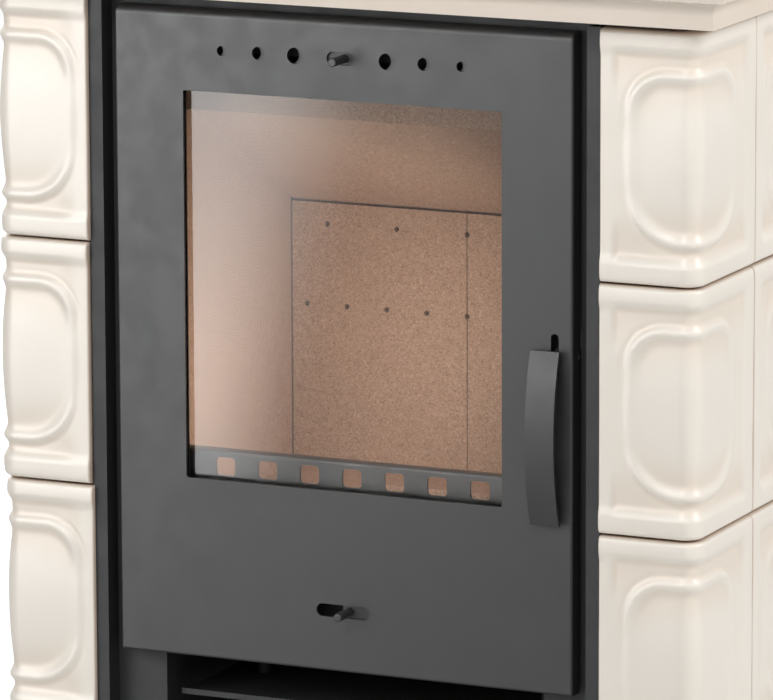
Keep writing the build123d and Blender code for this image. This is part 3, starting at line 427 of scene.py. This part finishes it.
# %% glass and fibre
def make_fibre():
    """Dark glass fibre with its yarn."""
    material, tree, shader, where = finish("seal_rope", (0.03, 0.03, 0.03), 0.95, Sheen_Weight=0.3)
    yarn = noise(tree, where, 900.0, 3.0)
    color = ramp(tree, yarn, [(0.3, (0.018, 0.018, 0.018)), (0.75, (0.075, 0.073, 0.07))])
    tree.links.new(color, shader.inputs["Base Color"])
    bump(tree, shader, yarn, 0.5, 0.0006)
    return material


fire_glass = finish("fire_glass", (0.96, 0.95, 0.93), 0.02, Transmission_Weight=1.0, IOR=1.47)[0]
fibre = make_fibre()
print("finishes made")

# %% [markdown]
# The CAD nodes that stay get their finish here. Their object keeps its place and mesh; only the
# material slots change.

# %% finishes of the CAD nodes
FINISHES = {
    stove_paint: ["door_panel", "handle_grip", "upper_air_pin", "lower_air_pin"],
    strip_paint: ["plinth", "cover_strip_left", "cover_strip_right", "front_frame", "niche_liner",
                  "heat_shield", "shield_spacers"],
    black_paint: ["side_casing_left", "side_casing_right", "firebox_shell", "ash_box", "ash_pan",
                  "rope_channel", "hinge_knuckles", "hinge_brackets", "glass_retainer",
                  "levelling_feet", "air_spigot", "shaft_bearing", "latch_shaft", "upper_air_slider",
                  "lower_air_slider"],
    cast_iron: ["grate", "flue_collar"],
    galvanised: ["back_panel"],
    bare_steel: ["ember_bar"],
    bright_steel: ["slider_guides"],
    board: ["side_board_left", "side_board_right", "back_board_left", "back_board_right",
            "hearth_bricks", "baffle"],
    fire_glass: ["window_glass"],
    # the slab's glaze carries painted shade
    shaded_slab_glaze: ["top_slab"],
}

for material, names in FINISHES.items():
    for name in names:
        slots = nodes[name].data.materials
        slots.clear()
        slots.append(material)
print("finished", sum(len(names) for names in FINISHES.values()), "CAD nodes")

# %% [markdown]
# ## Relief of the tiles
# A stove tile is pressed in a mould. Every tile has the same field: a raised border, a ring that
# is rounder at its foot than at its head, and a soft cushion inside the ring. The corner tiles carry that
# same field round a bent corner. The shape is one height over a flat sheet, so it is a rule, and a
# geometry tree works it out: a grid gets a thickness, its front is raised by the formula, and the whole
# sheet is bent round the corner. A flat tile is the same sheet with its bend beyond its end.

# %% sizes of the relief
JOINT_TAKEN = 1 * MM            # how far a modelled tile reaches into the joint beside it
RELIEF = {
    "Length": 0.2148,           # along the unfolded face
    "Height": TILE_H + JOINT_TAKEN,
    "Cells": 112.0,             # along each side of the grid
    "Thickness": 0.020,
    "Bend Start": 0.0745,       # where the corner begins along the sheet
    "Bend Radius": 0.018,
    "Left Band": -0.05,         # only flat tiles have a border on that side
    "Margin": 0.0135,           # the grooves start here
    "Margin Soft": 0.0035,
    "Top Band": 0.0180,
    "Bottom Band": 0.0215,
    "Side Band": 0.0200,
    "Groove": 0.0044,           # depth of the grooves under the border
    "Ground": 0.0019,           # depth of the ground half way up
    "Ring Left": 0.0225,        # the ring's crest along the sheet
    "Ring Right": 0.1688,
    "Ring Top": 0.0375,         # from the upper edge
    "Ring Bottom": 0.0365,      # from the lower edge
    "Ring Width": 0.0070,
    "Turn Top": 0.032,          # radius of the ring's turns
    "Turn Bottom": 0.046,
    "Cushion": 0.0049,          # hollow between the cushion's middle and its foot
    "Edge Top": 0.003,          # radius of the edges
    "Edge Bottom": 0.0045,
    "Band Round": 0.011,        # half width of the borders' round back
    "Band Fall": 0.20,          # how round that back is
    "Waver": 0.0005,            # unevenness of the pressed clay
    "Seed": 1.0,
}


# %% [markdown]
# The sheet is a grid pushed out by one unit. That height, 0 or 1, tells the tile's back from its face
# in all that follows. The grid's lines are crowded towards the edges.

# %% the sheet of a tile
CROWDING = 0.55                 # 0 spaces the grid's lines evenly


def sheet_of_clay(tree, size):
    """Closed sheet: a grid at height 1, the same grid at height 0, and the walls between them."""
    count = size["Cells"] + 1
    grid = add(tree, "GeometryNodeMeshGrid", {"Size X": size["Length"], "Size Y": size["Height"],
                                              "Vertices X": count, "Vertices Y": count})
    raised = add(tree, "GeometryNodeExtrudeMesh", {"Mesh": grid.outputs[0], "Offset": (0, 0, 1),
                                                   "Offset Scale": 1.0, "Individual": False})
    back = add(tree, "GeometryNodeFlipFaces", {"Mesh": grid.outputs[0]})
    both = tree.nodes.new("GeometryNodeJoinGeometry")
    tree.links.new(raised.outputs[0], both.inputs[0])
    tree.links.new(back.outputs[0], both.inputs[0])
    return add(tree, "GeometryNodeMergeByDistance", {"Geometry": both.outputs[0],
                                                     "Distance": 1e-6}).outputs[0]


def crowded(tree, along, length):
    """Moves the lines of the grid towards the sheet's edges, where the relief is finer."""
    turns = along / length * (2 * math.pi)
    return along - turns.math("SINE") * length * (CROWDING / (2 * math.pi))


# %% [markdown]
# The height is put together from four simple things, each worked out from a distance: the border, the
# ring, the cushion and the rounded edges. The distance to the ring is that of a rectangle with rounded
# corners, whose radius is larger below the middle than above it.

# %% height of the relief
BORDER_SOFT = 0.0058            # half the width of the slope under a border
GROOVE_REACH = (0.062, 0.026)   # the grooves fade between these distances from the tile's ends
CUSHION_POWER = 2.4             # 2 is an ellipse, more is squarer
CUSHION_WIDE = 1.06             # size of the cushion against the ring's
CUSHION_TALL = 0.91
CUSHION_SIDES = 0.32            # how much it falls towards its sides
CUSHION_LIMIT = 1.35            # the most that it falls, against its size in RELIEF
RIDGE_LOW = 0.0007              # height of the ring along its sides
RIDGE_ENDS = 0.0042             # what its ends add to that
RIDGE_FOOT = 0.0006             # and what its lower end adds to that
RIDGE_RISE = (0.35, 0.95)       # the ends rise between these shares of the ring's half height
RIDGE_LOWEST = -0.9             # the lower end has all of its height at this share
RING_BLEND = (0.0115, 0.0008)   # the ring's relief takes over between these distances


def ring_distance(u, v, size):
    """Distance to the ring's line, negative inside it; offsets from its centre; its half sizes."""
    half_u = (size["Ring Right"] - size["Ring Left"]) * 0.5
    half_v = (size["Height"] - size["Ring Top"] - size["Ring Bottom"]) * 0.5
    from_u = u - (size["Ring Left"] + half_u)
    from_v = v - (size["Ring Bottom"] + half_v)
    above = from_v.math("GREATER_THAN", 0.0)
    radius = size["Turn Bottom"] + above * (size["Turn Top"] - size["Turn Bottom"])
    out_u = from_u.math("ABSOLUTE") - half_u + radius
    out_v = from_v.math("ABSOLUTE") - half_v + radius
    outside = (out_u.math("MAXIMUM", 0.0) ** 2 + out_v.math("MAXIMUM", 0.0) ** 2).math("SQRT")
    inside = out_u.math("MAXIMUM", out_v).math("MINIMUM", 0.0)
    return outside + inside - radius, from_u, from_v, half_u, half_v


def border_height(u, v, size):
    """Border and ground: 0 on the border, a groove along its ends, and a shallow ground between."""
    from_top = size["Height"] - v
    from_side = size["Length"] - u
    field = 1
    for gap, band in ((from_top, "Top Band"), (v, "Bottom Band"), (from_side, "Side Band"),
                      (u, "Left Band")):
        field = gap.step(size[band] - BORDER_SOFT, size[band] + BORDER_SOFT) * field
    near_end = from_top.math("MINIMUM", v).step(*GROOVE_REACH)
    deeper = near_end * u.step(size["Margin"] - size["Margin Soft"],
                               size["Margin"] + size["Margin Soft"])
    return field * (size["Ground"] + deeper * (size["Groove"] - size["Ground"])) * -1


def ring_height(distance, from_u, from_v, half_u, half_v, size):
    """Cushion inside the ring and the ridge of the ring itself, which is low along the sides."""
    wide = (from_u.math("ABSOLUTE") / (half_u * CUSHION_WIDE)) ** CUSHION_POWER * CUSHION_SIDES
    tall = (from_v.math("ABSOLUTE") / (half_v * CUSHION_TALL)) ** CUSHION_POWER
    reach = ((wide + tall) ** (2 / CUSHION_POWER)).math("MINIMUM", CUSHION_LIMIT)
    ends = from_v.math("ABSOLUTE").step(half_v * RIDGE_RISE[0], half_v * RIDGE_RISE[1])
    low_end = from_v.step(0.0, half_v * RIDGE_LOWEST)
    ridge = ends * (low_end * RIDGE_FOOT + RIDGE_ENDS) + RIDGE_LOW
    swell = (distance / size["Ring Width"]) ** 2 * -1
    return reach * size["Cushion"] * -1 + swell.math("EXPONENT") * ridge


def edge_drop(gap, radius):
    """Rounded edge: how far the face falls away near the rim."""
    missing = (radius - gap).math("MAXIMUM", 0.0)
    return radius - (radius ** 2 - missing ** 2).math("MAXIMUM", 0.0).math("SQRT")


def relief_height(tree, u, v, size):
    """Height with its rounded edges, and without them."""
    distance, from_u, from_v, half_u, half_v = ring_distance(u, v, size)
    border = border_height(u, v, size)
    ring = ring_height(distance, from_u, from_v, half_u, half_v, size)
    inside = distance.step(*RING_BLEND)
    height = border * (1 - inside) + ring * inside
    at = add(tree, "ShaderNodeCombineXYZ", {"X": u, "Y": v, "Z": size["Seed"]})
    wave = add(tree, "ShaderNodeTexNoise", {"Vector": at.outputs[0], "Scale": 14.0, "Detail": 1.0})
    height = height + (Field(tree, wave.outputs["Fac"]) - 0.5) * size["Waver"] * 2
    sides = edge_drop(u, size["Edge Top"] * 0.5) + edge_drop(size["Length"] - u, size["Edge Top"])
    ends = edge_drop(size["Height"] - v, size["Edge Top"]) + edge_drop(v, size["Edge Bottom"])
    round_back = (edge_drop(size["Height"] - v, size["Band Round"]) + edge_drop(v, size["Band Round"]))
    return height - (sides + ends + round_back * size["Band Fall"]), height


# %% [markdown]
# The sheet with its relief is bent round the corner last. Two numbers are stored on its points for the
# glaze: how hollow the relief is there, and how near the rim.

# %% bending and storing
# the gathered glaze and the painted shade of the hollows come in between these heights
HOLLOW_HEIGHTS = (-0.0012, -0.0042)     # the glaze gathers between these heights
RIM_REACH = (0.0012, 0.0003)            # the clay shows between these distances from the rim
RIM_CLAY = 0.8


def bent(tree, u, v, out, size):
    """Point of the sheet after it has been bent round the corner; out is measured outwards."""
    radius = size["Bend Radius"]
    past = u - size["Bend Start"]
    quarter = radius * (math.pi / 2)
    angle = (past / radius).math("MAXIMUM", 0.0).math("MINIMUM", math.pi / 2)
    arm = radius + out
    x = arm * angle.math("SINE") - radius + past.math("MINIMUM", 0.0)
    y = radius - arm * angle.math("COSINE") + (past - quarter).math("MAXIMUM", 0.0)
    return add(tree, "ShaderNodeCombineXYZ", {"X": x, "Y": y, "Z": v}).outputs[0]


def kept(tree, geometry, label, value):
    """Stores a number on each point, for the glaze."""
    node = add(tree, "GeometryNodeStoreNamedAttribute", {"Geometry": geometry, "Name": label},
               data_type="FLOAT", domain="POINT")
    slot = next(s for s in node.inputs if s.name == "Value" and s.enabled)
    put(tree, slot, value)
    return node.outputs[0]


def tile_tree():
    """Tree of a corner tile: the sheet, its relief, its attributes and its bend."""
    tree, size, material = geometry_tree("relief tile", RELIEF)
    sheet = sheet_of_clay(tree, size)
    at = add(tree, "GeometryNodeInputPosition")
    part = add(tree, "ShaderNodeSeparateXYZ", {"Vector": at.outputs[0]})
    x, y, level = (Field(tree, part.outputs[i]) for i in range(3))
    u = crowded(tree, x + size["Length"] * 0.5, size["Length"])
    v = crowded(tree, y + size["Height"] * 0.5, size["Height"])
    height, plain = relief_height(tree, u, v, size)
    out = level * height - (1 - level) * size["Thickness"]
    gap = u.math("MINIMUM", size["Length"] - u).math("MINIMUM", v)
    gap = gap.math("MINIMUM", size["Height"] - v)
    sheet = kept(tree, sheet, "hollow", plain.step(*HOLLOW_HEIGHTS) * level)
    rim = (gap.step(*RIM_REACH) * RIM_CLAY + 1 - level).math("MINIMUM", 1.0)
    sheet = kept(tree, sheet, "rim", rim)
    moved = add(tree, "GeometryNodeSetPosition",
                {"Geometry": sheet, "Position": bent(tree, u, v, out, size)})
    smooth = add(tree, "GeometryNodeSetShadeSmooth", {"Geometry": moved.outputs[0]})
    close_tree(tree, smooth.outputs[0], material)
    return tree


relief = tile_tree()
print("relief tree has", len(relief.nodes), "nodes")

# %% [markdown]
# The tree makes a right-hand corner tile with its outer corner at the origin. A mirror gives the left
# hand; since a mirror turns the faces inside out, they are flipped back. Each tile has its own seed, and
# most of the front tiles stand a hair in or out of line, as hand-set tiles do.

# %% sizes of single tiles
MIRROR = Matrix.Diagonal((-1, 1, 1, 1))
TURN = Matrix.Rotation(math.pi / 2, 4, "Z")
FLAT_LENGTH = side_high.y - side_low.y + 2 * JOINT_TAKEN
FLAT_BORDER = 0.020
FLAT_RING = 0.036               # the ring's crest from both sides of a flat tile
FAR = 0.4                       # a bend beyond the sheet's end, for a flat tile
REAR_CELLS = 70                 # the rear tiles are out of sight and coarser
RING_START = {"left": 0.0165, "right": 0.0285}      # the ring's crest from the strip
GROOVE_START = {"left": (0.019, 0.012), "right": (0.0135, 0.0035)}
LEAN = {"left": {4: 0.0, 3: 0.0014, 2: -0.0012, 1: 0.0006},
        "right": {4: 0.0004, 3: 0.0, 2: 0.0004, 1: -0.0004}}
FIRST_SEED = {"left": 50, "right": 0}
ROW_SEED, SIDE_SEED, REAR_SEED = 7.3, 2.1, 4.7


# %% [markdown]
# Three small functions make the two kinds of tile and set them for either hand.

# %% two kinds of tile
def corner_piece(name, hand, seed, cells=RELIEF["Cells"]):
    """Corner tile for one hand, still in its mould's place."""
    margin, soft = GROOVE_START[hand]
    return grow(name, relief, glaze, Seed=seed, Cells=cells, Ring_Left=RING_START[hand], Margin=margin,
                Margin_Soft=soft)


def flat_piece(name, seed):
    """Flat tile of the side, from the same tree."""
    piece = grow(name, relief, glaze, Seed=seed, Length=FLAT_LENGTH, Bend_Start=FAR,
                 Left_Band=FLAT_BORDER, Ring_Left=FLAT_RING, Ring_Right=FLAT_LENGTH - FLAT_RING)
    place(piece, Matrix.Translation((FAR + RELIEF["Bend Radius"] - FLAT_LENGTH / 2, 0, 0)))
    return piece


def set_tile(piece, hand, at):
    """Puts a piece made for the right hand in its place, mirrored for the left."""
    place(piece, Matrix.Translation(at))
    if hand == "left":
        place(piece, MIRROR, True)


# %% [markdown]
# Each row has a corner tile in front, a flat tile on the side and a corner tile behind. The rear tiles
# of one side are one node in the CAD, so they are joined into one column here too.

# %% setting the tiles
for hand in ("left", "right"):
    rear = []
    for row, z in enumerate(row_low, 1):
        seed = row * ROW_SEED + FIRST_SEED[hand]
        front_tile = corner_piece(f"front_tile_{hand}_{row}", hand, seed)
        set_tile(front_tile, hand, (tile_high.x + LEAN[hand][row], tile_low.y, z))
        side_tile = flat_piece(f"side_tile_{hand}_{row}", seed + SIDE_SEED)
        place(side_tile, TURN)
        set_tile(side_tile, hand, (side_high.x, (side_low.y + side_high.y) / 2, z))
        rear_tile = corner_piece(f"rear_tile_{hand}_{row}", hand, seed + REAR_SEED, REAR_CELLS)
        place(rear_tile, TURN)
        set_tile(rear_tile, hand, (rear_high.x, rear_high.y, z))
        rear.append(rear_tile)
        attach(front_tile, "stove")
        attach(side_tile, "stove")
        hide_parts(f"tile_front_{hand}_{row}")
        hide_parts(f"tile_side_{hand}_{row}")
    column = join(f"rear_tiles_{hand}", rear)
    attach(column, "stove")
    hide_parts(f"tiles_rear_{hand}")

# %% [markdown]
# ## Seals
# Three strands run along a rectangle with rounded corners. Each strand swings sideways once and in and
# out twice in every turn, a third of a turn after the one before it, which gives a flat braid. The same
# tree makes the thick rope of the door and the thin one under the pane.

# %% braided seal
SEAL_BAND = 10 * MM             # width of both CAD rings
STRANDS = 3
STRAND_SIDES = 8
TURN_POINTS = 16                # points along the line in each turn of the braid
BEND_POINTS = 8                 # points in each rounded corner
BRAID = {"Width": 0.368, "Height": 0.552, "Bend": 0.014, "Turns": 104.0, "Sideways": 0.0024,
         "Inwards": 0.0026, "Strand": 0.0025}


def braid_tree():
    """Tree of a flat braid of three strands along a rectangle with rounded corners."""
    tree, size, material = geometry_tree("braided seal", BRAID)
    frame_line = add(tree, "GeometryNodeCurvePrimitiveQuadrilateral",
                     {"Width": size["Width"], "Height": size["Height"]})
    rounded = add(tree, "GeometryNodeFilletCurve",
                  {"Curve": frame_line.outputs[0], "Count": BEND_POINTS, "Radius": size["Bend"]},
                  mode="POLY")
    line = add(tree, "GeometryNodeResampleCurve",
               {"Curve": rounded.outputs[0], "Count": size["Turns"] * TURN_POINTS})
    along = Field(tree, add(tree, "GeometryNodeSplineParameter").outputs["Factor"])
    forwards = add(tree, "GeometryNodeInputTangent").outputs[0]
    across = add(tree, "ShaderNodeVectorMath", {0: forwards, 1: (0, 0, 1)}, operation="CROSS_PRODUCT")
    part = add(tree, "ShaderNodeSeparateXYZ", {"Vector": across.outputs[0]})
    section = add(tree, "GeometryNodeCurvePrimitiveCircle",
                  {"Resolution": STRAND_SIDES, "Radius": size["Strand"]})
    strands = tree.nodes.new("GeometryNodeJoinGeometry")
    for i in range(STRANDS):
        angle = (along * size["Turns"] + i / STRANDS) * (2 * math.pi)
        side = angle.math("SINE") * size["Sideways"]
        deep = (angle * 2).math("SINE") * size["Inwards"]
        shift = add(tree, "ShaderNodeCombineXYZ", {"X": Field(tree, part.outputs[0]) * side,
                                                   "Y": Field(tree, part.outputs[1]) * side, "Z": deep})
        strand = add(tree, "GeometryNodeSetPosition",
                     {"Geometry": line.outputs[0], "Offset": shift.outputs[0]})
        yarn = add(tree, "GeometryNodeCurveToMesh", {"Curve": strand.outputs[0],
                                                     "Profile Curve": section.outputs[0]})
        tree.links.new(yarn.outputs[0], strands.inputs[0])
    smooth = add(tree, "GeometryNodeSetShadeSmooth", {"Geometry": strands.outputs[0]})
    close_tree(tree, smooth.outputs[0], material)
    return tree


braid = braid_tree()
UPRIGHT = Matrix.Rotation(math.pi / 2, 4, "X")


# %% laying the seals
def lay_seal(name, replaced, **sizes):
    """Braided seal along the middle of a CAD ring."""
    low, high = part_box(replaced)
    piece = grow(name, braid, fibre, Width=high.x - low.x - SEAL_BAND,
                 Height=high.z - low.z - SEAL_BAND, **sizes)
    place(piece, Matrix.Translation((low + high) / 2) @ UPRIGHT)
    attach(piece, "door")
    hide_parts(replaced)
    print(name, len(piece.data.polygons), "faces")


lay_seal("braided_rope", "door_rope")
lay_seal("braided_gasket", "glass_gasket", Bend=0.004, Turns=90, Sideways=0.0032, Inwards=0.0012,
         Strand=0.0016)

# %% [markdown]
# ## Screws of the pane's retainer
# Eight pan-head screws stand round the pane: at the corners and in the middle of each side. A grid of
# three by three points gives their places, without its middle; the corner points are moved up or down
# towards the grid's middle row.

# %% screws
screw_low, screw_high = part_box("retainer_screws")
HEAD_WIDTH = 8 * MM
SCREWS = {"Width": screw_high.x - screw_low.x - HEAD_WIDTH,
          "Height": screw_high.z - screw_low.z - HEAD_WIDTH,
          "Corner Drop": 0.012, "Head": HEAD_WIDTH / 2, "Head Height": 0.0025, "Shank": 0.002,
          "Length": screw_high.y - screw_low.y}


def screw_tree():
    """Tree of eight screws on the points round a grid's middle."""
    tree, size, material = geometry_tree("retainer screws", SCREWS)
    grid = add(tree, "GeometryNodeMeshGrid", {"Size X": size["Width"], "Size Y": size["Height"],
                                              "Vertices X": 3, "Vertices Y": 3})
    place_in = add(tree, "GeometryNodeInputPosition")
    at = add(tree, "ShaderNodeSeparateXYZ", {"Vector": place_in.outputs[0]})
    off_x = Field(tree, at.outputs[0]).math("ABSOLUTE").math("GREATER_THAN", 0.001)
    y = Field(tree, at.outputs[1])
    off_y = y.math("ABSOLUTE").math("GREATER_THAN", 0.001)
    middle = (off_x + off_y).math("LESS_THAN", 0.5)
    shift = off_x * off_y * y.math("SIGN") * size["Corner Drop"] * -1
    move = add(tree, "ShaderNodeCombineXYZ", {"Y": shift})
    places = add(tree, "GeometryNodeDeleteGeometry", {"Geometry": grid.outputs[0], "Selection": middle})
    places = add(tree, "GeometryNodeSetPosition",
                 {"Geometry": places.outputs[0], "Offset": move.outputs[0]})
    shank_long = size["Length"] - size["Head Height"]
    shank = add(tree, "GeometryNodeMeshCylinder", {"Vertices": 16, "Radius": size["Shank"],
                                                   "Depth": shank_long})
    head = add(tree, "GeometryNodeMeshCone",
               {"Vertices": 24, "Radius Top": size["Head"] * 0.8, "Radius Bottom": size["Head"],
                "Depth": size["Head Height"]})
    low = add(tree, "ShaderNodeCombineXYZ", {"Z": shank_long * 0.5})
    raised = add(tree, "ShaderNodeCombineXYZ", {"Z": shank_long})
    shank = add(tree, "GeometryNodeTransform",
                {"Geometry": shank.outputs[0], "Translation": low.outputs[0]})
    head = add(tree, "GeometryNodeTransform",
               {"Geometry": head.outputs[0], "Translation": raised.outputs[0]})
    screw = tree.nodes.new("GeometryNodeJoinGeometry")
    tree.links.new(shank.outputs[0], screw.inputs[0])
    tree.links.new(head.outputs[0], screw.inputs[0])
    copies = add(tree, "GeometryNodeInstanceOnPoints", {"Points": places.outputs[0],
                                                        "Instance": screw.outputs[0]})
    close_tree(tree, copies.outputs[0], material)
    return tree


# %% setting the screws
screws = grow("pane_screws", screw_tree(), bright_steel)
screw_middle = (screw_low + screw_high) / 2
place(screws, Matrix.Translation((screw_middle.x, screw_low.y, screw_middle.z)) @ UPRIGHT.inverted())
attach(screws, "door")
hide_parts("retainer_screws")
print("screws", len(screws.data.polygons), "faces")

# %% [markdown]
# ## Studio
# The stove stands on a pale floor in an even light. The floor glows a little for the camera alone, so
# that it goes over into the white background while its shadows stay.

# %% floor
FLOOR_RADIUS = 6
FLOOR_GLOW = 0.42               # lifts the floor to white for the camera
FAR_GLOW = 0.45                 # what is added to it far from the stove
FAR_REACH = (1.0, 5.0)          # it is added between these distances


def make_floor():
    """Round pale floor under the stove."""
    bpy.ops.mesh.primitive_circle_add(vertices=64, radius=FLOOR_RADIUS, fill_type="NGON")
    floor = bpy.context.object
    floor.name = "floor"
    material, tree, shader, where = finish("floor", (0.80, 0.80, 0.80), 0.9)
    color = ramp(tree, noise(tree, where, 3.0), [(0.3, (0.79, 0.79, 0.785)), (0.7, (0.81, 0.81, 0.81))])
    tree.links.new(color, shader.inputs["Base Color"])
    shader.inputs["Emission Color"].default_value = (1, 1, 1, 1)
    seen = Field(tree, add(tree, "ShaderNodeLightPath").outputs["Is Camera Ray"])
    distance = add(tree, "ShaderNodeVectorMath", {0: where}, operation="LENGTH")
    away = Field(tree, distance.outputs["Value"])
    put(tree, shader.inputs["Emission Strength"], seen * (away.step(*FAR_REACH) * FAR_GLOW + FLOOR_GLOW))
    floor.data.materials.append(material)


make_floor()

# %% [markdown]
# Four lamps: a soft one from the upper front, one from the right, a weaker one from behind on the left,
# and a small one behind the pane, which stands for the daylight that falls into the fire chamber.

# %% lamps
MIDDLE = Vector((0, FRONT + 0.2, 0.6))


def area_lamp(name, place_at, target, size, power):
    """Rectangular lamp turned towards a target."""
    lamp = bpy.data.lights.new(name, "AREA")
    lamp.shape = "RECTANGLE"
    lamp.size, lamp.size_y = size
    lamp.energy = power
    obj = bpy.data.objects.new(name, lamp)
    scene.collection.objects.link(obj)
    obj.location = place_at
    obj.rotation_euler = (target - place_at).to_track_quat("-Z", "Y").to_euler()
    return obj


area_lamp("key", Vector((0.0, -3.0, 3.0)), MIDDLE, (1.2, 1.2), 55)
area_lamp("side", Vector((3.4, 0.2, 2.6)), MIDDLE, (1.2, 1.4), 72)
area_lamp("fill", Vector((-2.7, 2.2, 2.0)), Vector((0, 0, 0.5)), (1.8, 1.8), 34)
inner = area_lamp("inner", Vector((0.05, FRONT + 0.055, 0.57)), Vector((-0.18, FRONT + 0.12, 0.62)),
                  (0.12, 0.14), 0.51)
inner.visible_camera = False
inner.visible_glossy = False
inner.visible_transmission = False

# %% [markdown]
# What the glass and the door mirror is a room, not the studio: a bright window to the left, its curtain
# and a duller wall beside it, and a bright strip above. A panel in front of the stove shows that room to
# glossy rays alone. The window's edge leans, as the haze on the pane does in the photograph.

# %% mirrored room
ROOM_PLACE = (-0.3, FRONT - 1.5, 0.8)
ROOM_SIZE = (4.2, 1.6, 1, 1)
WINDOW_GLOW = 6.4
CURTAIN_GLOW = 0.5
BROW_GLOW = 3.0
WALL_GLOW = 0.2
WINDOW_EDGE = (-0.66, -0.86)    # the window fades in between these places, from the right
WINDOW_END = (-1.75, -1.6)      # and out again between these
CURTAIN_EDGE = (-0.40, -0.75)
BROW_EDGE = (0.45, 0.95)        # heights
LEAN_FROM = 0.56                # height at which the window's edge is in its place
LEAN_BY = 0.25


def make_room():
    """Upright glowing panel, seen by glossy rays alone."""
    bpy.ops.mesh.primitive_plane_add(size=1)
    panel = bpy.context.object
    panel.name = "mirrored_room"
    panel.data.transform(Matrix.Translation(ROOM_PLACE) @ UPRIGHT @ Matrix.Diagonal(ROOM_SIZE))
    material = bpy.data.materials.new("mirrored_room")
    material.use_nodes = True
    tree = material.node_tree
    tree.nodes.clear()
    at = add(tree, "ShaderNodeSeparateXYZ",
             {"Vector": add(tree, "ShaderNodeTexCoord").outputs["Object"]})
    x = Field(tree, at.outputs[0])
    z = Field(tree, at.outputs[2])
    leaning = x - (z - LEAN_FROM) * LEAN_BY
    window = leaning.step(*WINDOW_EDGE) * x.step(*WINDOW_END)
    strength = window * WINDOW_GLOW + x.step(*CURTAIN_EDGE) * CURTAIN_GLOW
    strength = strength + z.step(*BROW_EDGE) * BROW_GLOW + WALL_GLOW
    light = add(tree, "ShaderNodeEmission", {"Color": (0.985, 0.99, 1.0, 1), "Strength": strength})
    add(tree, "ShaderNodeOutputMaterial", {"Surface": light.outputs[0]})
    panel.data.materials.append(material)
    panel.visible_camera = False
    panel.visible_diffuse = False
    panel.visible_transmission = False
    panel.visible_shadow = False


make_room()

# %% [markdown]
# The world is white to the camera, in reflections and through the glass, and plain grey light for the
# rest.

# %% world
AMBIENT = 0.38
world = bpy.data.worlds.new("studio")
scene.world = world
world.use_nodes = True
air = world.node_tree
background = air.nodes["Background"]
rays = add(air, "ShaderNodeLightPath")
seen = Field(air, rays.outputs["Is Camera Ray"])
seen = seen.math("MAXIMUM", Field(air, rays.outputs["Is Glossy Ray"]))
seen = seen.math("MAXIMUM", Field(air, rays.outputs["Is Transmission Ray"]))
put(air, background.inputs["Strength"], seen * (1 - AMBIENT) + AMBIENT)
background.inputs["Color"].default_value = (1, 1, 1, 1)
scene.view_settings.view_transform = "Standard"
